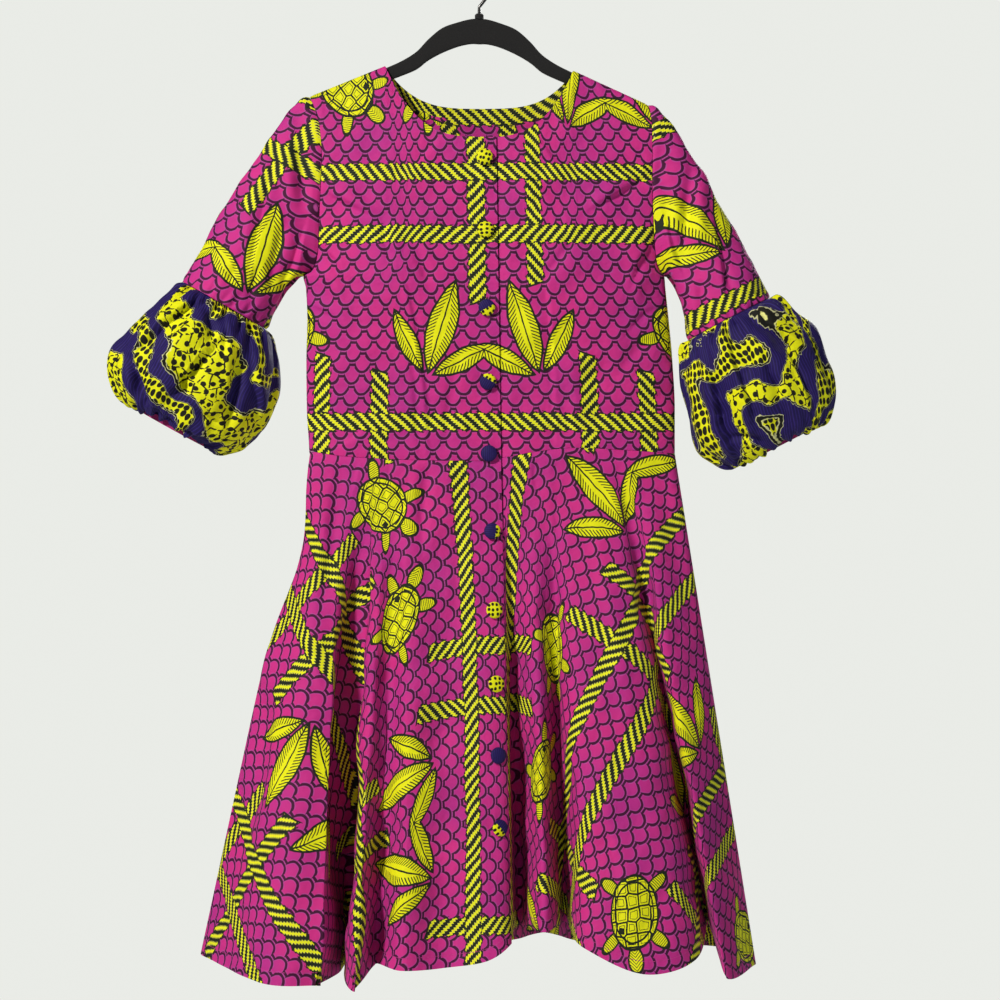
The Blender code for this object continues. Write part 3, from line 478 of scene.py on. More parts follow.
def buildPrintedCotton():
    # cotton, plain woven and wax printed on both sides: crisp, with a low dry sheen
    made, add, surface = newMaterial("printed magenta cotton")
    p = printSizes
    inMm = flatMm(add)
    wobble = add("TexNoise", inMm, scale=0.05, detail=2.0)
    sway = add("VectorMath SUBTRACT", wobble.outputs["Color"], (0.5, 0.5, 0.5))
    drawn = add("VectorMath MULTIPLY_ADD", sway, (4.0, 4.0, 0), inMm)
    split = add("SeparateXYZ", drawn)
    u, v = split.outputs[0], split.outputs[1]

    # rows of rounded cups that hang between short flats
    course = tileNumber(add, v, p["row"])
    distances = []
    for k in (0, 1):
        row = add("Math ADD", course, float(k))
        shift = add("Math MULTIPLY_ADD", row, p["cup"] / 2, u)
        fromCup = add("Math PINGPONG", shift, p["cup"] / 2)
        reach = add("Math MINIMUM", add("Math DIVIDE", fromCup, p["cupHalf"]), 1.0)
        curve = add("Math POWER", reach, p["round"])
        drop = add("Math MULTIPLY_ADD", curve, p["cupDeep"], -p["cupDeep"])
        level = add("Math MULTIPLY_ADD", row, p["row"], drop)
        gap = add("Math SUBTRACT", v, level)
        steep = add("Math POWER", reach, p["round"] - 1)
        inCup = add("Math LESS_THAN", reach, 0.999)
        steep = add("Math MULTIPLY", add("Math MULTIPLY", steep, inCup), p["round"] * p["cupDeep"] / p["cupHalf"])
        lean = add("Math SQRT", add("Math MULTIPLY_ADD", steep, steep, 1.0))
        distances.append(add("Math ABSOLUTE", add("Math DIVIDE", gap, lean)))
    fromLine = add("Math MINIMUM", *distances)

    dye = add("MapRange", add("TexNoise", inMm, scale=0.011, detail=2.0), 0.4, 0.66)
    base = add("Mix RGBA", dye, linear(p["ground"]), linear(p["groundViolet"]))
    halo = add("MapRange", fromLine, p["halo"] - 0.3, p["halo"] + 0.25, 0.6, 0.0)
    base = add("Mix RGBA", halo, base, linear(p["haloColour"]))
    line = add("MapRange", fromLine, p["line"] - 0.25, p["line"] + 0.25, 1.0, 0.0)
    base = add("Mix RGBA", line, base, linear(p["lineColour"]))

    # twisted cords: a pair of long ones in each tile, and two short ties that cross them
    lifted = add("Math ADD", v, p["tileTall"] / 2)
    tier = tileNumber(add, lifted, p["tileTall"])
    fromPair = inTile(add, lifted, p["tileTall"])
    pairFold = add("Math ABSOLUTE", fromPair)
    longLean = add("Math SUBTRACT", pairFold, p["cordGap"])
    longAway = add("Math ABSOLUTE", longLean)
    halfDrop = add("Math MULTIPLY_ADD", tier, p["tileLong"] * p["tileShift"], u)
    fromTies = inTile(add, halfDrop, p["tileLong"])
    tieFold = add("Math ABSOLUTE", fromTies)
    tieLean = add("Math SUBTRACT", tieFold, p["tieGap"])
    tieAway = add("Math ABSOLUTE", tieLean)
    past = add("Math MULTIPLY_ADD", fromTies, 0.3, pairFold)  # one tie is longer
    past = add("Math SUBTRACT", p["tieReach"], past)
    for away, along, lean, ends in ((tieAway, fromPair, tieLean, past), (longAway, halfDrop, longLean, None)):
        # hatching: short strokes that run with the strands and end unevenly
        stroke = add("Math PINGPONG", add("Math MULTIPLY_ADD", along, -0.35, lean), 1.5)
        phase = add("Math DIVIDE", add("Math MULTIPLY_ADD", lean, 1.05, along), p["strand"])
        phase = add("Math MULTIPLY_ADD", stroke, 0.16, phase)
        strand = add("Math ABSOLUTE", add("Math SUBTRACT", add("Math FRACT", phase), 0.5))
        yellow = add("MapRange", strand, 0.185, 0.235, 1.0, 0.0)
        glint = add("MapRange", strand, 0.14, 0.2, 0.0, 0.6)
        bulge = add("Math MULTIPLY_ADD", strand, -6.4, p["cordHalf"] + 1.7)
        rim = add("Math SUBTRACT", bulge, away)
        if ends is not None:
            rim = add("Math MINIMUM", rim, ends)
        inside = add("MapRange", rim, 1.6, 2.0)
        cord = add("MapRange", rim, -0.5, 0.0)
        tone = add("Mix RGBA", glint, linear(p["yellow"]), linear(p["pale"]))
        shown = add("Math MULTIPLY", yellow, inside)
        tone = add("Mix RGBA", shown, linear(p["black"]), tone)
        base = add("Mix RGBA", cord, base, tone)

    # one leaf spray and one tortoise in each space between the cord pairs
    space = tileNumber(add, v, p["tileTall"])
    up = inTile(add, v, p["tileTall"])
    across = add("Math MULTIPLY_ADD", space, p["tileLong"] * p["tileShift"], u)
    brick = tileNumber(add, across, p["tileLong"])
    across = inTile(add, across, p["tileLong"])
    swap = add("Math MULTIPLY_ADD", add("Math FLOORED_MODULO", add("Math ADD", space, brick), 2.0), -2.0, 1.0)
    local = add("CombineXYZ", add("Math MULTIPLY", across, swap), up, 0.0)

    spray = add("VectorMath SUBTRACT", local, p["sprayAt"])
    turned = add("VectorRotate", spray, angle=math.radians(p["sprayTurn"]), rotation_type="Z_AXIS")
    mirrored = add("VectorMath ABSOLUTE", turned)  # leaves in pairs
    parts = add("SeparateXYZ", turned)
    folded = add("SeparateXYZ", mirrored)
    folded = add("CombineXYZ", folded.outputs[0], parts.outputs[1], 0.0)
    leaves = []
    for lean, far, tall, wide in p["leaves"]:
        swung = add("VectorRotate", folded, angle=math.radians(lean), rotation_type="Z_AXIS")
        centred = add("VectorMath SUBTRACT", swung, (0, far, 0))
        radius = (wide ** 2 + tall ** 2) / (2 * wide)
        bent = add("VectorMath ADD", add("VectorMath ABSOLUTE", centred), (radius - wide, 0, 0))
        edge = add("Math SUBTRACT", add("VectorMath LENGTH", bent), radius)
        spot = add("SeparateXYZ", centred)
        rib = add("Math ABSOLUTE", spot.outputs[0])
        vein = add("Math PINGPONG", add("Math MULTIPLY_ADD", rib, 0.9, spot.outputs[1]), 2.0)
        vein = add("Math LESS_THAN", vein, 0.75)
        shade = add("Math MULTIPLY_ADD", spot.outputs[0], 0.35, edge)  # longer strokes on one side
        vein = add("Math MULTIPLY", vein, add("MapRange", shade, -7.5, -6.5))
        leaves.append((edge, add("Math MAXIMUM", vein, add("Math LESS_THAN", rib, 0.8))))
    tortoise = add("VectorMath SUBTRACT", local, p["tortoiseAt"])
    tortoise = add("VectorRotate", tortoise, angle=math.radians(p["tortoiseTurn"]), rotation_type="Z_AXIS")
    back = fromOval(add, tortoise, p["shell"])
    quarter = add("VectorMath ABSOLUTE", tortoise)
    leg = add("VectorMath SUBTRACT", quarter, p["legAt"])
    leg = add("VectorRotate", leg, angle=math.radians(p["legTurn"]), rotation_type="Z_AXIS")
    head = fromOval(add, add("VectorMath SUBTRACT", tortoise, p["headAt"]), p["head"])
    leg = add("Math MINIMUM", fromOval(add, leg, p["leg"]), head)
    scales = add("SeparateXYZ", quarter)
    scales = add("Math PINGPONG", add("Math ADD", scales.outputs[0], scales.outputs[1]), 1.6)
    legInk = add("Math LESS_THAN", scales, 0.5)
    plates = add("TexVoronoi", tortoise, scale=0.075, randomness=0.3, feature="DISTANCE_TO_EDGE")
    plateInk = add("Math LESS_THAN", plates, 0.07)
    rings = add("Math LESS_THAN", add("Math ABSOLUTE", add("Math SUBTRACT", plates, 0.21)), 0.025)
    rimInk = add("Math LESS_THAN", add("Math ABSOLUTE", add("Math ADD", back, 5.5)), 0.9)
    backInk = add("Math MAXIMUM", add("Math MAXIMUM", plateInk, rimInk), rings)
    for edge, ink in (leaves[1], leaves[0], (leg, legInk), (back, backInk)):
        form = add("MapRange", edge, 0.9, 1.3, 1.0, 0.0)
        within = add("MapRange", edge, -1.4, -1.0, 1.0, 0.0)
        clear = add("Math MULTIPLY", add("Math SUBTRACT", 1.0, ink), within)
        tone = add("Mix RGBA", clear, linear(p["black"]), linear(p["yellow"]))
        base = add("Mix RGBA", form, base, tone)
    finishCloth(add, surface, inMm, base)
    return made


def finishCloth(add, surface, inMm, colour):
    # threads are about 0.4 mm apart; drawn at 1.3 mm so that the weave shows at all
    weave = [add("TexWave", inMm, scale=0.24, distortion=0.6, detail=1.0, bands_direction=way) for way in ("X", "Y")]
    cross = add("Math MULTIPLY", *(wave.outputs["Fac"] for wave in weave))
    crumple = add("TexNoise", inMm, scale=0.032, detail=3.0, roughness=0.5)  # soft creases, about 30 mm apart
    bump = add("Bump", height=add("Math MULTIPLY_ADD", cross, 0.035, crumple), strength=0.8, distance=0.0055)
    surface(normal=bump, baseColor=colour, roughness=0.7, sheenWeight=0.05, sheenRoughness=0.4, specularIorLevel=0.25)


contrastSizes = {
    "violet": "#1d0f50", "violetPale": "#3a2c8c", "yellow": "#eef00a", "pale": "#f4f5b0", "black": "#14150f",
    "band": 128.0, "edges": (0.27, 0.5, 0.7), "rib": 3.0, "cell": 7.0, "dot": 9.5, "twig": 12.0,
}


def buildContrastCotton():
    # the same plain weave, wax printed in violet, yellow and black
    made, add, surface = newMaterial("printed violet and yellow cotton")
    c = contrastSizes
    inMm = flatMm(add)
    wobble = add("TexNoise", inMm, scale=0.02, detail=1.0)
    sway = add("VectorMath SUBTRACT", wobble.outputs["Color"], (0.5, 0.5, 0.5))
    drawn = add("VectorMath MULTIPLY_ADD", sway, (22, 22, 0), inMm)
    bent = add("VectorMath MULTIPLY_ADD", sway, (60, 60, 0), inMm)
    fray = add("TexNoise", inMm, scale=0.28, detail=0.0)
    frayed = add("VectorMath MULTIPLY_ADD", fray.outputs["Color"], (4.0, 4.0, 0), bent)
    # broad bands that flow across the cloth, each with its own filling
    swirl = add("TexNoise", frayed, scale=0.013, detail=0.0)
    lie = add("VectorMath DOT_PRODUCT", frayed, (0.6, 0.8, 0))
    flow = add("Math MULTIPLY_ADD", swirl, 140.0, lie)
    band = add("Math FRACT", add("Math DIVIDE", flow, c["band"]))
    fromEdge = None
    for edge in (0.0, *c["edges"], 1.0):
        away = add("Math ABSOLUTE", add("Math SUBTRACT", band, edge))
        fromEdge = add("Math MINIMUM", away, fromEdge if fromEdge else 1.0)
    fromEdge = add("Math MULTIPLY", fromEdge, c["band"])

    split = add("SeparateXYZ", drawn)
    rib = add("MapRange", add("Math PINGPONG", split.outputs[0], c["rib"] / 2), 0.2, 0.6, 0.55, 0.0)
    ribbed = add("Mix RGBA", rib, linear(c["violet"]), linear(c["violetPale"]))

    tall = add("VectorMath MULTIPLY", drawn, (1.2, 0.8, 0))
    cells = add("TexVoronoi", tall, scale=1 / c["cell"], randomness=0.25, voronoi_dimensions="2D")
    cell = add("MapRange", cells, 0.4, 0.46, 1.0, 0.0)
    celled = add("Mix RGBA", cell, linear(c["yellow"]), linear(c["black"]))

    # dots that thin branching lines join
    dots = add("TexVoronoi", drawn, scale=1 / c["dot"], randomness=0.75, voronoi_dimensions="2D")
    dot = add("MapRange", dots, 0.26, 0.3, 1.0, 0.0)
    edges = {"feature": "DISTANCE_TO_EDGE", "voronoi_dimensions": "2D"}
    twig = add("TexVoronoi", drawn, scale=1 / c["twig"], randomness=0.8, **edges)
    twig = add("MapRange", twig, 0.055, 0.08, 1.0, 0.0)
    broken = add("MapRange", fray, 0.4, 0.44)
    twig = add("Math MULTIPLY", twig, broken)
    marks = add("Math MAXIMUM", dot, twig)
    dotted = add("Mix RGBA", marks, linear(c["yellow"]), linear(c["black"]))

    base = ribbed
    for edge, filling in zip(c["edges"], (celled, ribbed, dotted)):
        beyond = add("Math GREATER_THAN", band, edge)
        base = add("Mix RGBA", beyond, base, filling)
    rimmed = add("MapRange", fromEdge, 1.6, 1.9, 0.7, 0.0)
    base = add("Mix RGBA", rimmed, base, linear(c["pale"]))
    outline = add("MapRange", fromEdge, 1.0, 1.3, 1.0, 0.0)
    base = add("Mix RGBA", outline, base, linear(c["black"]))
    finishCloth(add, surface, inMm, base)
    return made


def buildPlainCotton():
    made, add, surface = newMaterial("plain magenta cotton")  # dyed in the piece, same weave
    inMm = flatMm(add)
    dye = add("TexNoise", inMm, scale=0.03, detail=3.0)
    finishCloth(add, surface, inMm, add("Mix RGBA", dye, linear("#a8246f"), linear("#c43a88")))
    return made


def buildVelvet():
    # nylon flock on moulded styrene: near black, it scatters light at its edges
    made, add, surface = newMaterial("black flocked styrene")
    pile = add("TexNoise", add("TexCoord").outputs["Object"], scale=900.0, detail=2.0)  # tufts about 1 mm apart
    surface(
        baseColor=add("Mix RGBA", pile, linear("#0b0b0c"), linear("#1d1d1f")),
        normal=add("Bump", height=pile, strength=0.4, distance=0.0004),
        roughness=0.95, sheenWeight=0.5, sheenRoughness=0.35,
    )
    return made


def buildWire():
    # bright steel wire under a smooth black dip coat
    made, add, surface = newMaterial("black coated steel wire")
    wear = add("TexNoise", add("TexCoord").outputs["Object"], scale=160.0, detail=3.0)
    surface(baseColor=linear("#131313"), roughness=add("MapRange", wear, 0.0, 1.0, 0.24, 0.42), coatWeight=0.3)
    return made


def buildThread():
    made, add, surface = newMaterial("magenta sewing thread")  # twisted polyester, a little shinier than the cloth
    twist = add("TexNoise", add("TexCoord").outputs["Object"], scale=2500.0)
    surface(baseColor=add("Mix RGBA", twist, linear("#b3217c"), linear("#d0489a")), roughness=0.5)
    return made


printedCotton = buildPrintedCotton()
contrastCotton = buildContrastCotton()
plainCotton = buildPlainCotton()
velvet = buildVelvet()
wire = buildWire()
thread = buildThread()
print("materials ready")


# bodice

bodiceCreases = {
    # out of the cloth (minus is a trough), width, and points across and up
    "right": (
        (2.7, 7.0, ((-52, -531), (-55, -474), (-59, -441), (-65, -404), (-70, -378), (-75, -356), (-84, -336)), 1),
        (-2.6, 3.4, ((-73, -410), (-67, -450), (-64, -502), (-61, -535))),
        (3.8, 5.0, ((-168, -250), (-142, -264), (-112, -279)), 1),
        (3.0, 6.0, ((-152, -249), (-128, -262), (-108, -277))),
        (-3.0, 5.1, ((-68, -310), (-59, -331), (-52, -352))),
        (-2.6, 4.2, ((-100, -281), (-98, -306), (-93, -330))),
        (2.6, 6.8, ((-90, -285), (-86, -312), (-80, -338))),
        (3.8, 5.5, ((-172, -303), (-152, -324), (-136, -356)), 1),
        (2.9, 7.6, ((-165, -330), (-148, -356), (-140, -390))),
        (-2.2, 6.8, ((-172, -400), (-140, -418), (-118, -450))),
        (-2.2, 6.0, ((-20, -420), (-30, -470), (-34, -520))),
        (2.4, 5.0, ((-176, -372), (-156, -382), (-134, -404)), 1),
        (2.1, 4.5, ((-120, -500), (-132, -512), (-150, -519)), 1),
        (2.2, 5.0, ((-40, -196), (-62, -222), (-92, -240)), 1),
    ),
    "left": (
        (2.7, 7.0, ((69, -337), (74, -389), (78, -462), (80, -525)), 1),
        (3.8, 5.0, ((110, -277), (148, -254), (182, -231)), 1),
        (3.0, 6.0, ((168, -230), (140, -250), (112, -268))),
        (-3.0, 5.1, ((97, -307), (82, -327), (68, -345))),
        (3.8, 5.5, ((156, -356), (168, -325), (186, -300)), 1),
        (2.9, 7.6, ((182, -330), (166, -352), (160, -388))),
        (-2.4, 6.8, ((195, -405), (165, -420), (140, -455))),
        (2.2, 7.6, ((96, -420), (101, -470), (99, -520))),
        (2.4, 5.0, ((150, -404), (172, -380), (192, -372)), 1),
        (2.1, 4.5, ((186, -515), (158, -505), (136, -492)), 1),
        (2.2, 5.0, ((108, -236), (78, -218), (58, -190)), 1),
    ),
    "back": (
        (-3.5, 3.8, ((-74, -345), (-68, -420), (-64, -530))),
        (-3.5, 3.8, ((84, -345), (80, -420), (78, -530))),
        (-3.8, 7.6, ((-160, -270), (-130, -300), (-90, -318))),
        (-3.5, 7.6, ((172, -262), (140, -296), (104, -320))),
        (3.2, 10.2, ((-140, -230), (-90, -262), (-40, -270))),
        (3.2, 10.2, ((150, -225), (100, -255), (50, -268))),
        (-2.6, 8.5, ((-20, -420), (20, -450), (60, -455))),
        (-3.0, 6.8, ((-175, -440), (-140, -462), (-100, -470))),
    ),
}


def rowShares(side):
    bottom = float(reading(waistHeights, "back", reading(sideSeams, side, -528.0), "across"))
    tip = shoulderLine(bodice["tips"][side])
    underarm = (bodice["underarm"] - bottom) / (tip - bottom)
    lower = [share * underarm for share in bodice["lowerRows"]]
    return np.array(lower + [mix(underarm, 1.0, share) for share in bodice["armholeRows"]])


def panelShares(start, side):
    neck = math.copysign(bodice["neckHalf"], bodice["tips"][side])
    level = shoulderLine(neck)
    begin = float(start(level))
    share = (neck - begin) / (float(reading(sideSeams, side, level)) - begin)
    inner = [s * share for s in bodice["neckColumns"]]
    return np.array(inner + [mix(share, 1.0, s) for s in bodice["shoulderColumns"]])


def panelGrid(start, offsets, shares, side, face, piece, levels):
    # levels has a column of row shares for each column of cloth
    across = lambda z: mix(start(z) + offsets, reading(sideSeams, side, z), shares)
    bottom = reading(waistHeights, piece, across(np.full(len(shares), -528.0)), "across")
    z = mix(bottom[None], topHeights(across, face, len(shares))[None], levels)
    return torsoPoints(across(z), z, face)


def squareEdges(grid, normals, sides):
    # keeps the wall inside the seams at the waist, the shoulders and the sides
    normals[0] = flattened(normals[0], 2)
    ends = np.abs(grid[-1, :, 0]) >= bodice["neckHalf"] - 0.5
    up = np.stack([np.copysign(bodice["slope"], grid[-1, :, 0]), np.zeros(grid.shape[1]), np.ones(grid.shape[1])], -1)
    normals[-1][ends] = (up / np.linalg.norm(up, axis=-1, keepdims=True))[ends]
    level = sum(bodice["rowSteps"][:4]) + 1
    for column, sign in sides:
        normals[:level, column] = (sign, 0, 0)


def shapedBodice(grid, facing, creases, sides, seed, calm=1.0):
    b = bodice
    normals = normalsOf(grid, facing=(0, facing, 0))
    push = creased(grid, creases) + sum(high * uneven(grid, size, seed + later) for high, size, later in b["swells"])
    up, side = runOf(grid, 0), runOf(grid, 1)
    push *= rising(np.minimum(up, up[-1:] - up), b["calmRows"])
    push -= b["waistDip"] * near(up, 3.0)
    for column, _ in sides:
        away = side if column == 0 else side[:, -1:] - side
        push = push * rising(away, b["calmSides"]) - b["seamDip"] * near(away, 2.4)  # side and armhole seams
    squareEdges(grid, normals, sides)
    return pushed(grid, normals, push * calm), normals, side


def buildBodice():
    b = bodice
    made = {}
    rowPlaces = placesBetween(b["rowSteps"])
    half = -b["lap"] / 2  # the buttons' line, from the edge of the lap
    for side, toSeam, start, lapped, steps, seed in (
        ("right", -1, -b["lap"], (0.0, half), b["frontSteps"], 3),
        ("left", 1, b["lapRise"], (-b["lap"], half, 0.0), (6, 6, 6) + b["frontSteps"][2:], 4),
    ):
        steps = placesBetween(steps)
        shares = panelShares(lambda z: edgeLine(z) + start, side)
        offsets = finer([*lapped] + [start] * len(shares), steps)
        shares = finer(np.concatenate([0 * np.array(lapped), shares]), steps)
        levels = finer(rowShares(side), rowPlaces)[:, None]
        grid = panelGrid(edgeLine, offsets, shares, side, "front", side + "Front", levels)
        if side == "right":
            calm = np.where(offsets > -20, 0.25, 1.0)
        else:
            under = np.clip(1 - offsets / b["lapRise"], 0, 1)[None, :, None]
            grid = grid - normalsOf(grid, facing=(0, -1, 0)) * (b["wall"] + b["lapGap"]) * under
            calm = np.clip((2.2 * np.arange(1, len(steps) + 1) - 38) / 20, 0, 1)  # smooth under the lap
        seams = [(grid.shape[1] - 1, toSeam)]
        outer, normals, along = shapedBodice(grid, -1, bodiceCreases[side], seams, seed, calm[None])
        centre = np.argmin(np.abs(offsets - half))
        flat = np.stack([toSeam * (along - along[:, centre:centre + 1]) + 4.0, grid[..., 2] + 528], -1)
        name = "bodiceFront" + side.title()
        piece = clothPiece(name, outer, pushed(outer, normals, -clothThick), flat, printedCotton)
        hang(piece, "bodice_front_" + side)
        made[side] = {"edge": grid[:, -1], "beside": grid[:, -2], "rows": rowPlaces}

    sides = ("right", "left")
    right, left = (panelShares(centreLine, side) for side in sides)
    middle = len(right) - 1
    steps = placesBetween(b["backSteps"][::-1] + b["backSteps"])
    isRight = steps <= middle
    levels = mix(*(finer(rowShares(side), rowPlaces)[:, None] for side in sides), steps / (2 * middle))
    shares = finer(np.concatenate([right[::-1], left[1:]]), steps)
    grids = [panelGrid(centreLine, 0 * steps, shares, side, "back", "back", levels) for side in sides]
    grid = np.where(isRight[None, :, None], *grids)
    outer, normals, along = shapedBodice(grid, 1, bodiceCreases["back"], [(0, -1), (len(steps) - 1, 1)], 5)
    centre = np.argmin(np.abs(steps - middle))
    flat = np.stack([along - along[:, centre:centre + 1] + 40, grid[..., 2] + 560], -1)
    piece = clothPiece("bodiceBack", outer, pushed(outer, normals, -clothThick), flat, printedCotton)
    hang(piece, "bodice_back")
    made["back"] = {"right": (grid[:, 0], grid[:, 1]), "left": (grid[:, -1], grid[:, -2])}

    # facing of the back neck, cut across the print
    lineX = lambda z: mix(centreLine(z), sideAt(z, isRight), shares)
    keep = np.abs(lineX(-130.0)) < b["facingHalf"]
    down = b["facingTall"] * np.linspace(0, 1, 24)[:, None]
    z = topHeights(lineX, "back", len(steps))[None] - down
    grid = torsoPoints(lineX(z), z, "back")[:, keep]
    normals = normalsOf(grid, facing=(0, 1, 0))
    outer = pushed(grid, normals, -2.1 + 0.25 * uneven(grid, 30, 9))
    # a cord of the print follows its edge
    flat = np.stack([runOf(grid, 1) + 40, printSizes["cordGap"] + 8 - np.repeat(down, grid.shape[1], 1)], -1)
    piece = clothPiece("neckFacing", outer, pushed(outer, normals, -0.8), flat, printedCotton)
    hang(piece, "neck_facing_back")
    return made


armholes = buildBodice()
print("bodice ready")


# skirt

frontFolds = (
    # x at the waist and the hem, how far the fold stands out, the hem's height, where the fold starts,
    # how far it is held in at the hips, and steps to the next row
    (-181, -296, 0, -1058, 0, 0.13, 5),
    (-158, -222, 98, -1066, 0.06, 0.05, 3),
    (-149, -166, 103, -1068, 0.1, 0, 2),
    (-144, -158, 96, -1068, 0.1, 0, 3),
    (-129, -147, 44, -1069, 0.1, 0, 3),
    (-113, -139, 0, -1066, 0.12, 0, 3),
    (-108, -138, 70, -1070, 0.12, 0, 2),
    (-98, -125, 105, -1073, 0.12, 0, 3),
    (-84, -107, 58, -1056, 0.1, 0, 3),
    (-66, -78, 98, -1054, 0.02, 0, 3),
    (-33, -36, 80, -1055, 0.05, 0, 3),
    (-2, 9, 90, -1046, 0.05, 0, 2),
    (23, 34, 76, -1031, 0.08, 0, 1),
    (31, 43, 20, -1023, 0.15, 0, 3),
    (54, 68, 92, -1016, 0.1, 0, 3),
    (76, 90, 28, -1018, 0.05, 0, 3),
    (90, 110, 100, -1032, 0.08, 0, 3),
    (115, 168, 114, -1054, 0.08, 0, 3),
    (133, 222, 88, -1045, 0.05, 0, 3),
    (145, 242, 4, -1022, 0.02, 0, 3),
    (162, 254, 74, -1066, 0.04, 0, 3),
    (208, 294, 0, -1069, 0, 0, 0),
)
backFolds = (
    (208, 294, 0, -1069, 0, 0, 3),
    (180, 264, 66, -1066, 0.05, 0, 2),
    (152, 216, 12, -1050, 0.12, 0, 3),
    (121, 168, 96, -1058, 0.08, 0, 3),
    (90, 120, 12, -1050, 0.15, 0, 3),
    (56, 74, 102, -1056, 0.03, 0, 3),
    (22, 24, 18, -1048, 0.18, 0, 3),
    (-14, -32, 98, -1056, 0.08, 0, 3),
    (-48, -84, 14, -1050, 0.15, 0, 3),
    (-82, -136, 104, -1058, 0.03, 0, 3),
    (-115, -190, 10, -1052, 0.12, 0, 3),
    (-150, -246, 72, -1062, 0.06, 0, 3),
    (-181, -296, 0, -1058, 0, 0.13, 0),
)
skirt = {
    "edgeRow": 12, "foldStart": 0.05, "holdAt": 0.2, "holdReach": 0.13, "rows": 170, "finer": 5,
    "waistRadius": 205.0, "tuck": 0.45,  # the cut's inner radius, and the cloth that folds hide
    "swells": ((2.4, 90, 0), (0.8, 34, 50)), "waistDip": 1.0, "seamDip": 0.6, "hemDip": 0.5, "hemThick": 0.8,
}
skirtCreases = {
    "front": (
        (-18.0, 9.0, ((-123, -610), (-131, -690), (-138, -780), (-143, -880), (-141, -1010))),
        (3.8, 10.8, ((-205, -780), (-211, -856), (-217, -894), (-227, -922), (-237, -960))),
        (-4.1, 9.0, ((-222, -800), (-232, -880), (-248, -960))),
        (3.0, 6.3, ((-64, -540), (-71, -577), (-77, -626), (-77, -680), (-75, -742))),
        (-3.8, 6.3, ((-54, -538), (-58, -580), (-61, -640))),
        (-3.4, 7.2, ((-145, -534), (-150, -577), (-156, -633), (-166, -700))),
        (3.4, 5.4, ((-98, -771), (-100, -832), (-102, -893), (-103, -934), (-105, -1010))),
        (-3.4, 6.3, ((29, -640), (31, -721), (33, -781), (40, -900), (44, -1000))),
        (3.4, 5.4, ((75, -545), (76, -596), (85, -659), (89, -780), (90, -898), (87, -1005))),
        (-4.1, 8.1, ((139, -534), (149, -561), (162, -587), (172, -624), (181, -697))),
        (-2.6, 7.2, ((-24, -560), (-22, -640), (-26, -720))),
        (2.8, 9.0, ((118, -560), (128, -640), (146, -740), (160, -840))),
        (-3.0, 9.0, ((190, -545), (205, -620), (222, -700))),
        (2.0, 5.0, ((-126, -537), (-131, -556), (-140, -588)), 1),
        (1.8, 4.0, ((-92, -538), (-96, -560), (-98, -590)), 1),
        (2.0, 5.0, ((112, -584), (106, -556), (104, -534)), 1),
        (1.6, 4.0, ((60, -574), (56, -552), (57, -532)), 1),
        (2.2, 7.0, ((-196, -712), (-176, -736), (-168, -770)), 1),
        (2.2, 8.0, ((-14, -860), (-10, -920), (-18, -985)), 1),
        (2.2, 8.0, ((128, -900), (142, -950), (150, -1000)), 1),
    ),
    "back": (
        (-4.1, 8.1, ((-145, -534), (-158, -600), (-172, -690))),
        (3.8, 7.2, ((-75, -536), (-90, -620), (-104, -720))),
        (-3.8, 7.2, ((8, -536), (4, -610), (-4, -700))),
        (3.8, 8.1, ((62, -536), (66, -620), (72, -730))),
        (-4.1, 8.1, ((132, -534), (150, -600), (170, -700))),
        (3.0, 9.9, ((-210, -800), (-226, -900), (-240, -990))),
        (-3.0, 9.0, ((40, -780), (46, -880), (50, -980))),
    ),
}


stitches = {"fromHem": 13.0, "long": 2.8, "gap": 0.9, "thick": 0.7}


def skirtPoints(folds, places, face, piece):
    table = list(zip(*folds))
    waist, hem, out, drop, start, hold = (rounded(table[k], places)[None] for k in range(6))
    down = np.linspace(0, 1, skirt["rows"])[:, None]
    waist = np.clip(waist, sideSeams["right"][0], sideSeams["left"][0])
    top = torsoPoints(waist, reading(waistHeights, piece, waist, "across"), face)
    held = hold * np.exp(-(((down - skirt["holdAt"]) / skirt["holdReach"]) ** 2)) * (down > 0)
    x = mix(waist, hem, down - held)
    start = np.maximum(0, start)
    run = np.maximum(0, (down - start) / (1 - start))
    share = (1 + skirt["foldStart"]) * run * run / (run + skirt["foldStart"])
    toward = -1 if face == "front" else 1
    y = mix(top[..., 1], toward * (np.maximum(0, out) + seamGap / 2), share)
    z = mix(top[..., 2] - seamGap, drop, down)
    return np.stack(np.broadcast_arrays(x, y, z), -1)


def finePlaces(folds, first, last):
    counts = [max(1, folds[row][-1]) * skirt["finer"] for row in range(first, last)]
    return first + placesBetween(counts)


def circularCut(grid, zeroColumn, towards):
    # the panel's flat shape, a sector whose angle follows the cloth's real width at waist and hem
    along, down = runOf(grid, 1), runOf(grid, 0)
    step = np.diff(grid[-1], axis=0)
    length = np.linalg.norm(step, axis=-1)
    hidden = 1 + skirt["tuck"] * (1 - np.abs(step[:, 0]) / np.maximum(length, 1e-6))
    hem = np.insert(np.cumsum(length * hidden), 0, 0)
    waist = along[0]
    radius = skirt["waistRadius"]
    long = float(down[-1].mean())
    angleWaist = (waist - waist[zeroColumn]) / radius
    angleHem = (hem - hem[zeroColumn]) / (radius + long)
    angle = towards * mix(angleWaist[None], angleHem[None], np.clip(down / long, 0, 1) ** 0.8)
    reach = radius + down
    return reach * np.sin(angle), -reach * np.cos(angle)


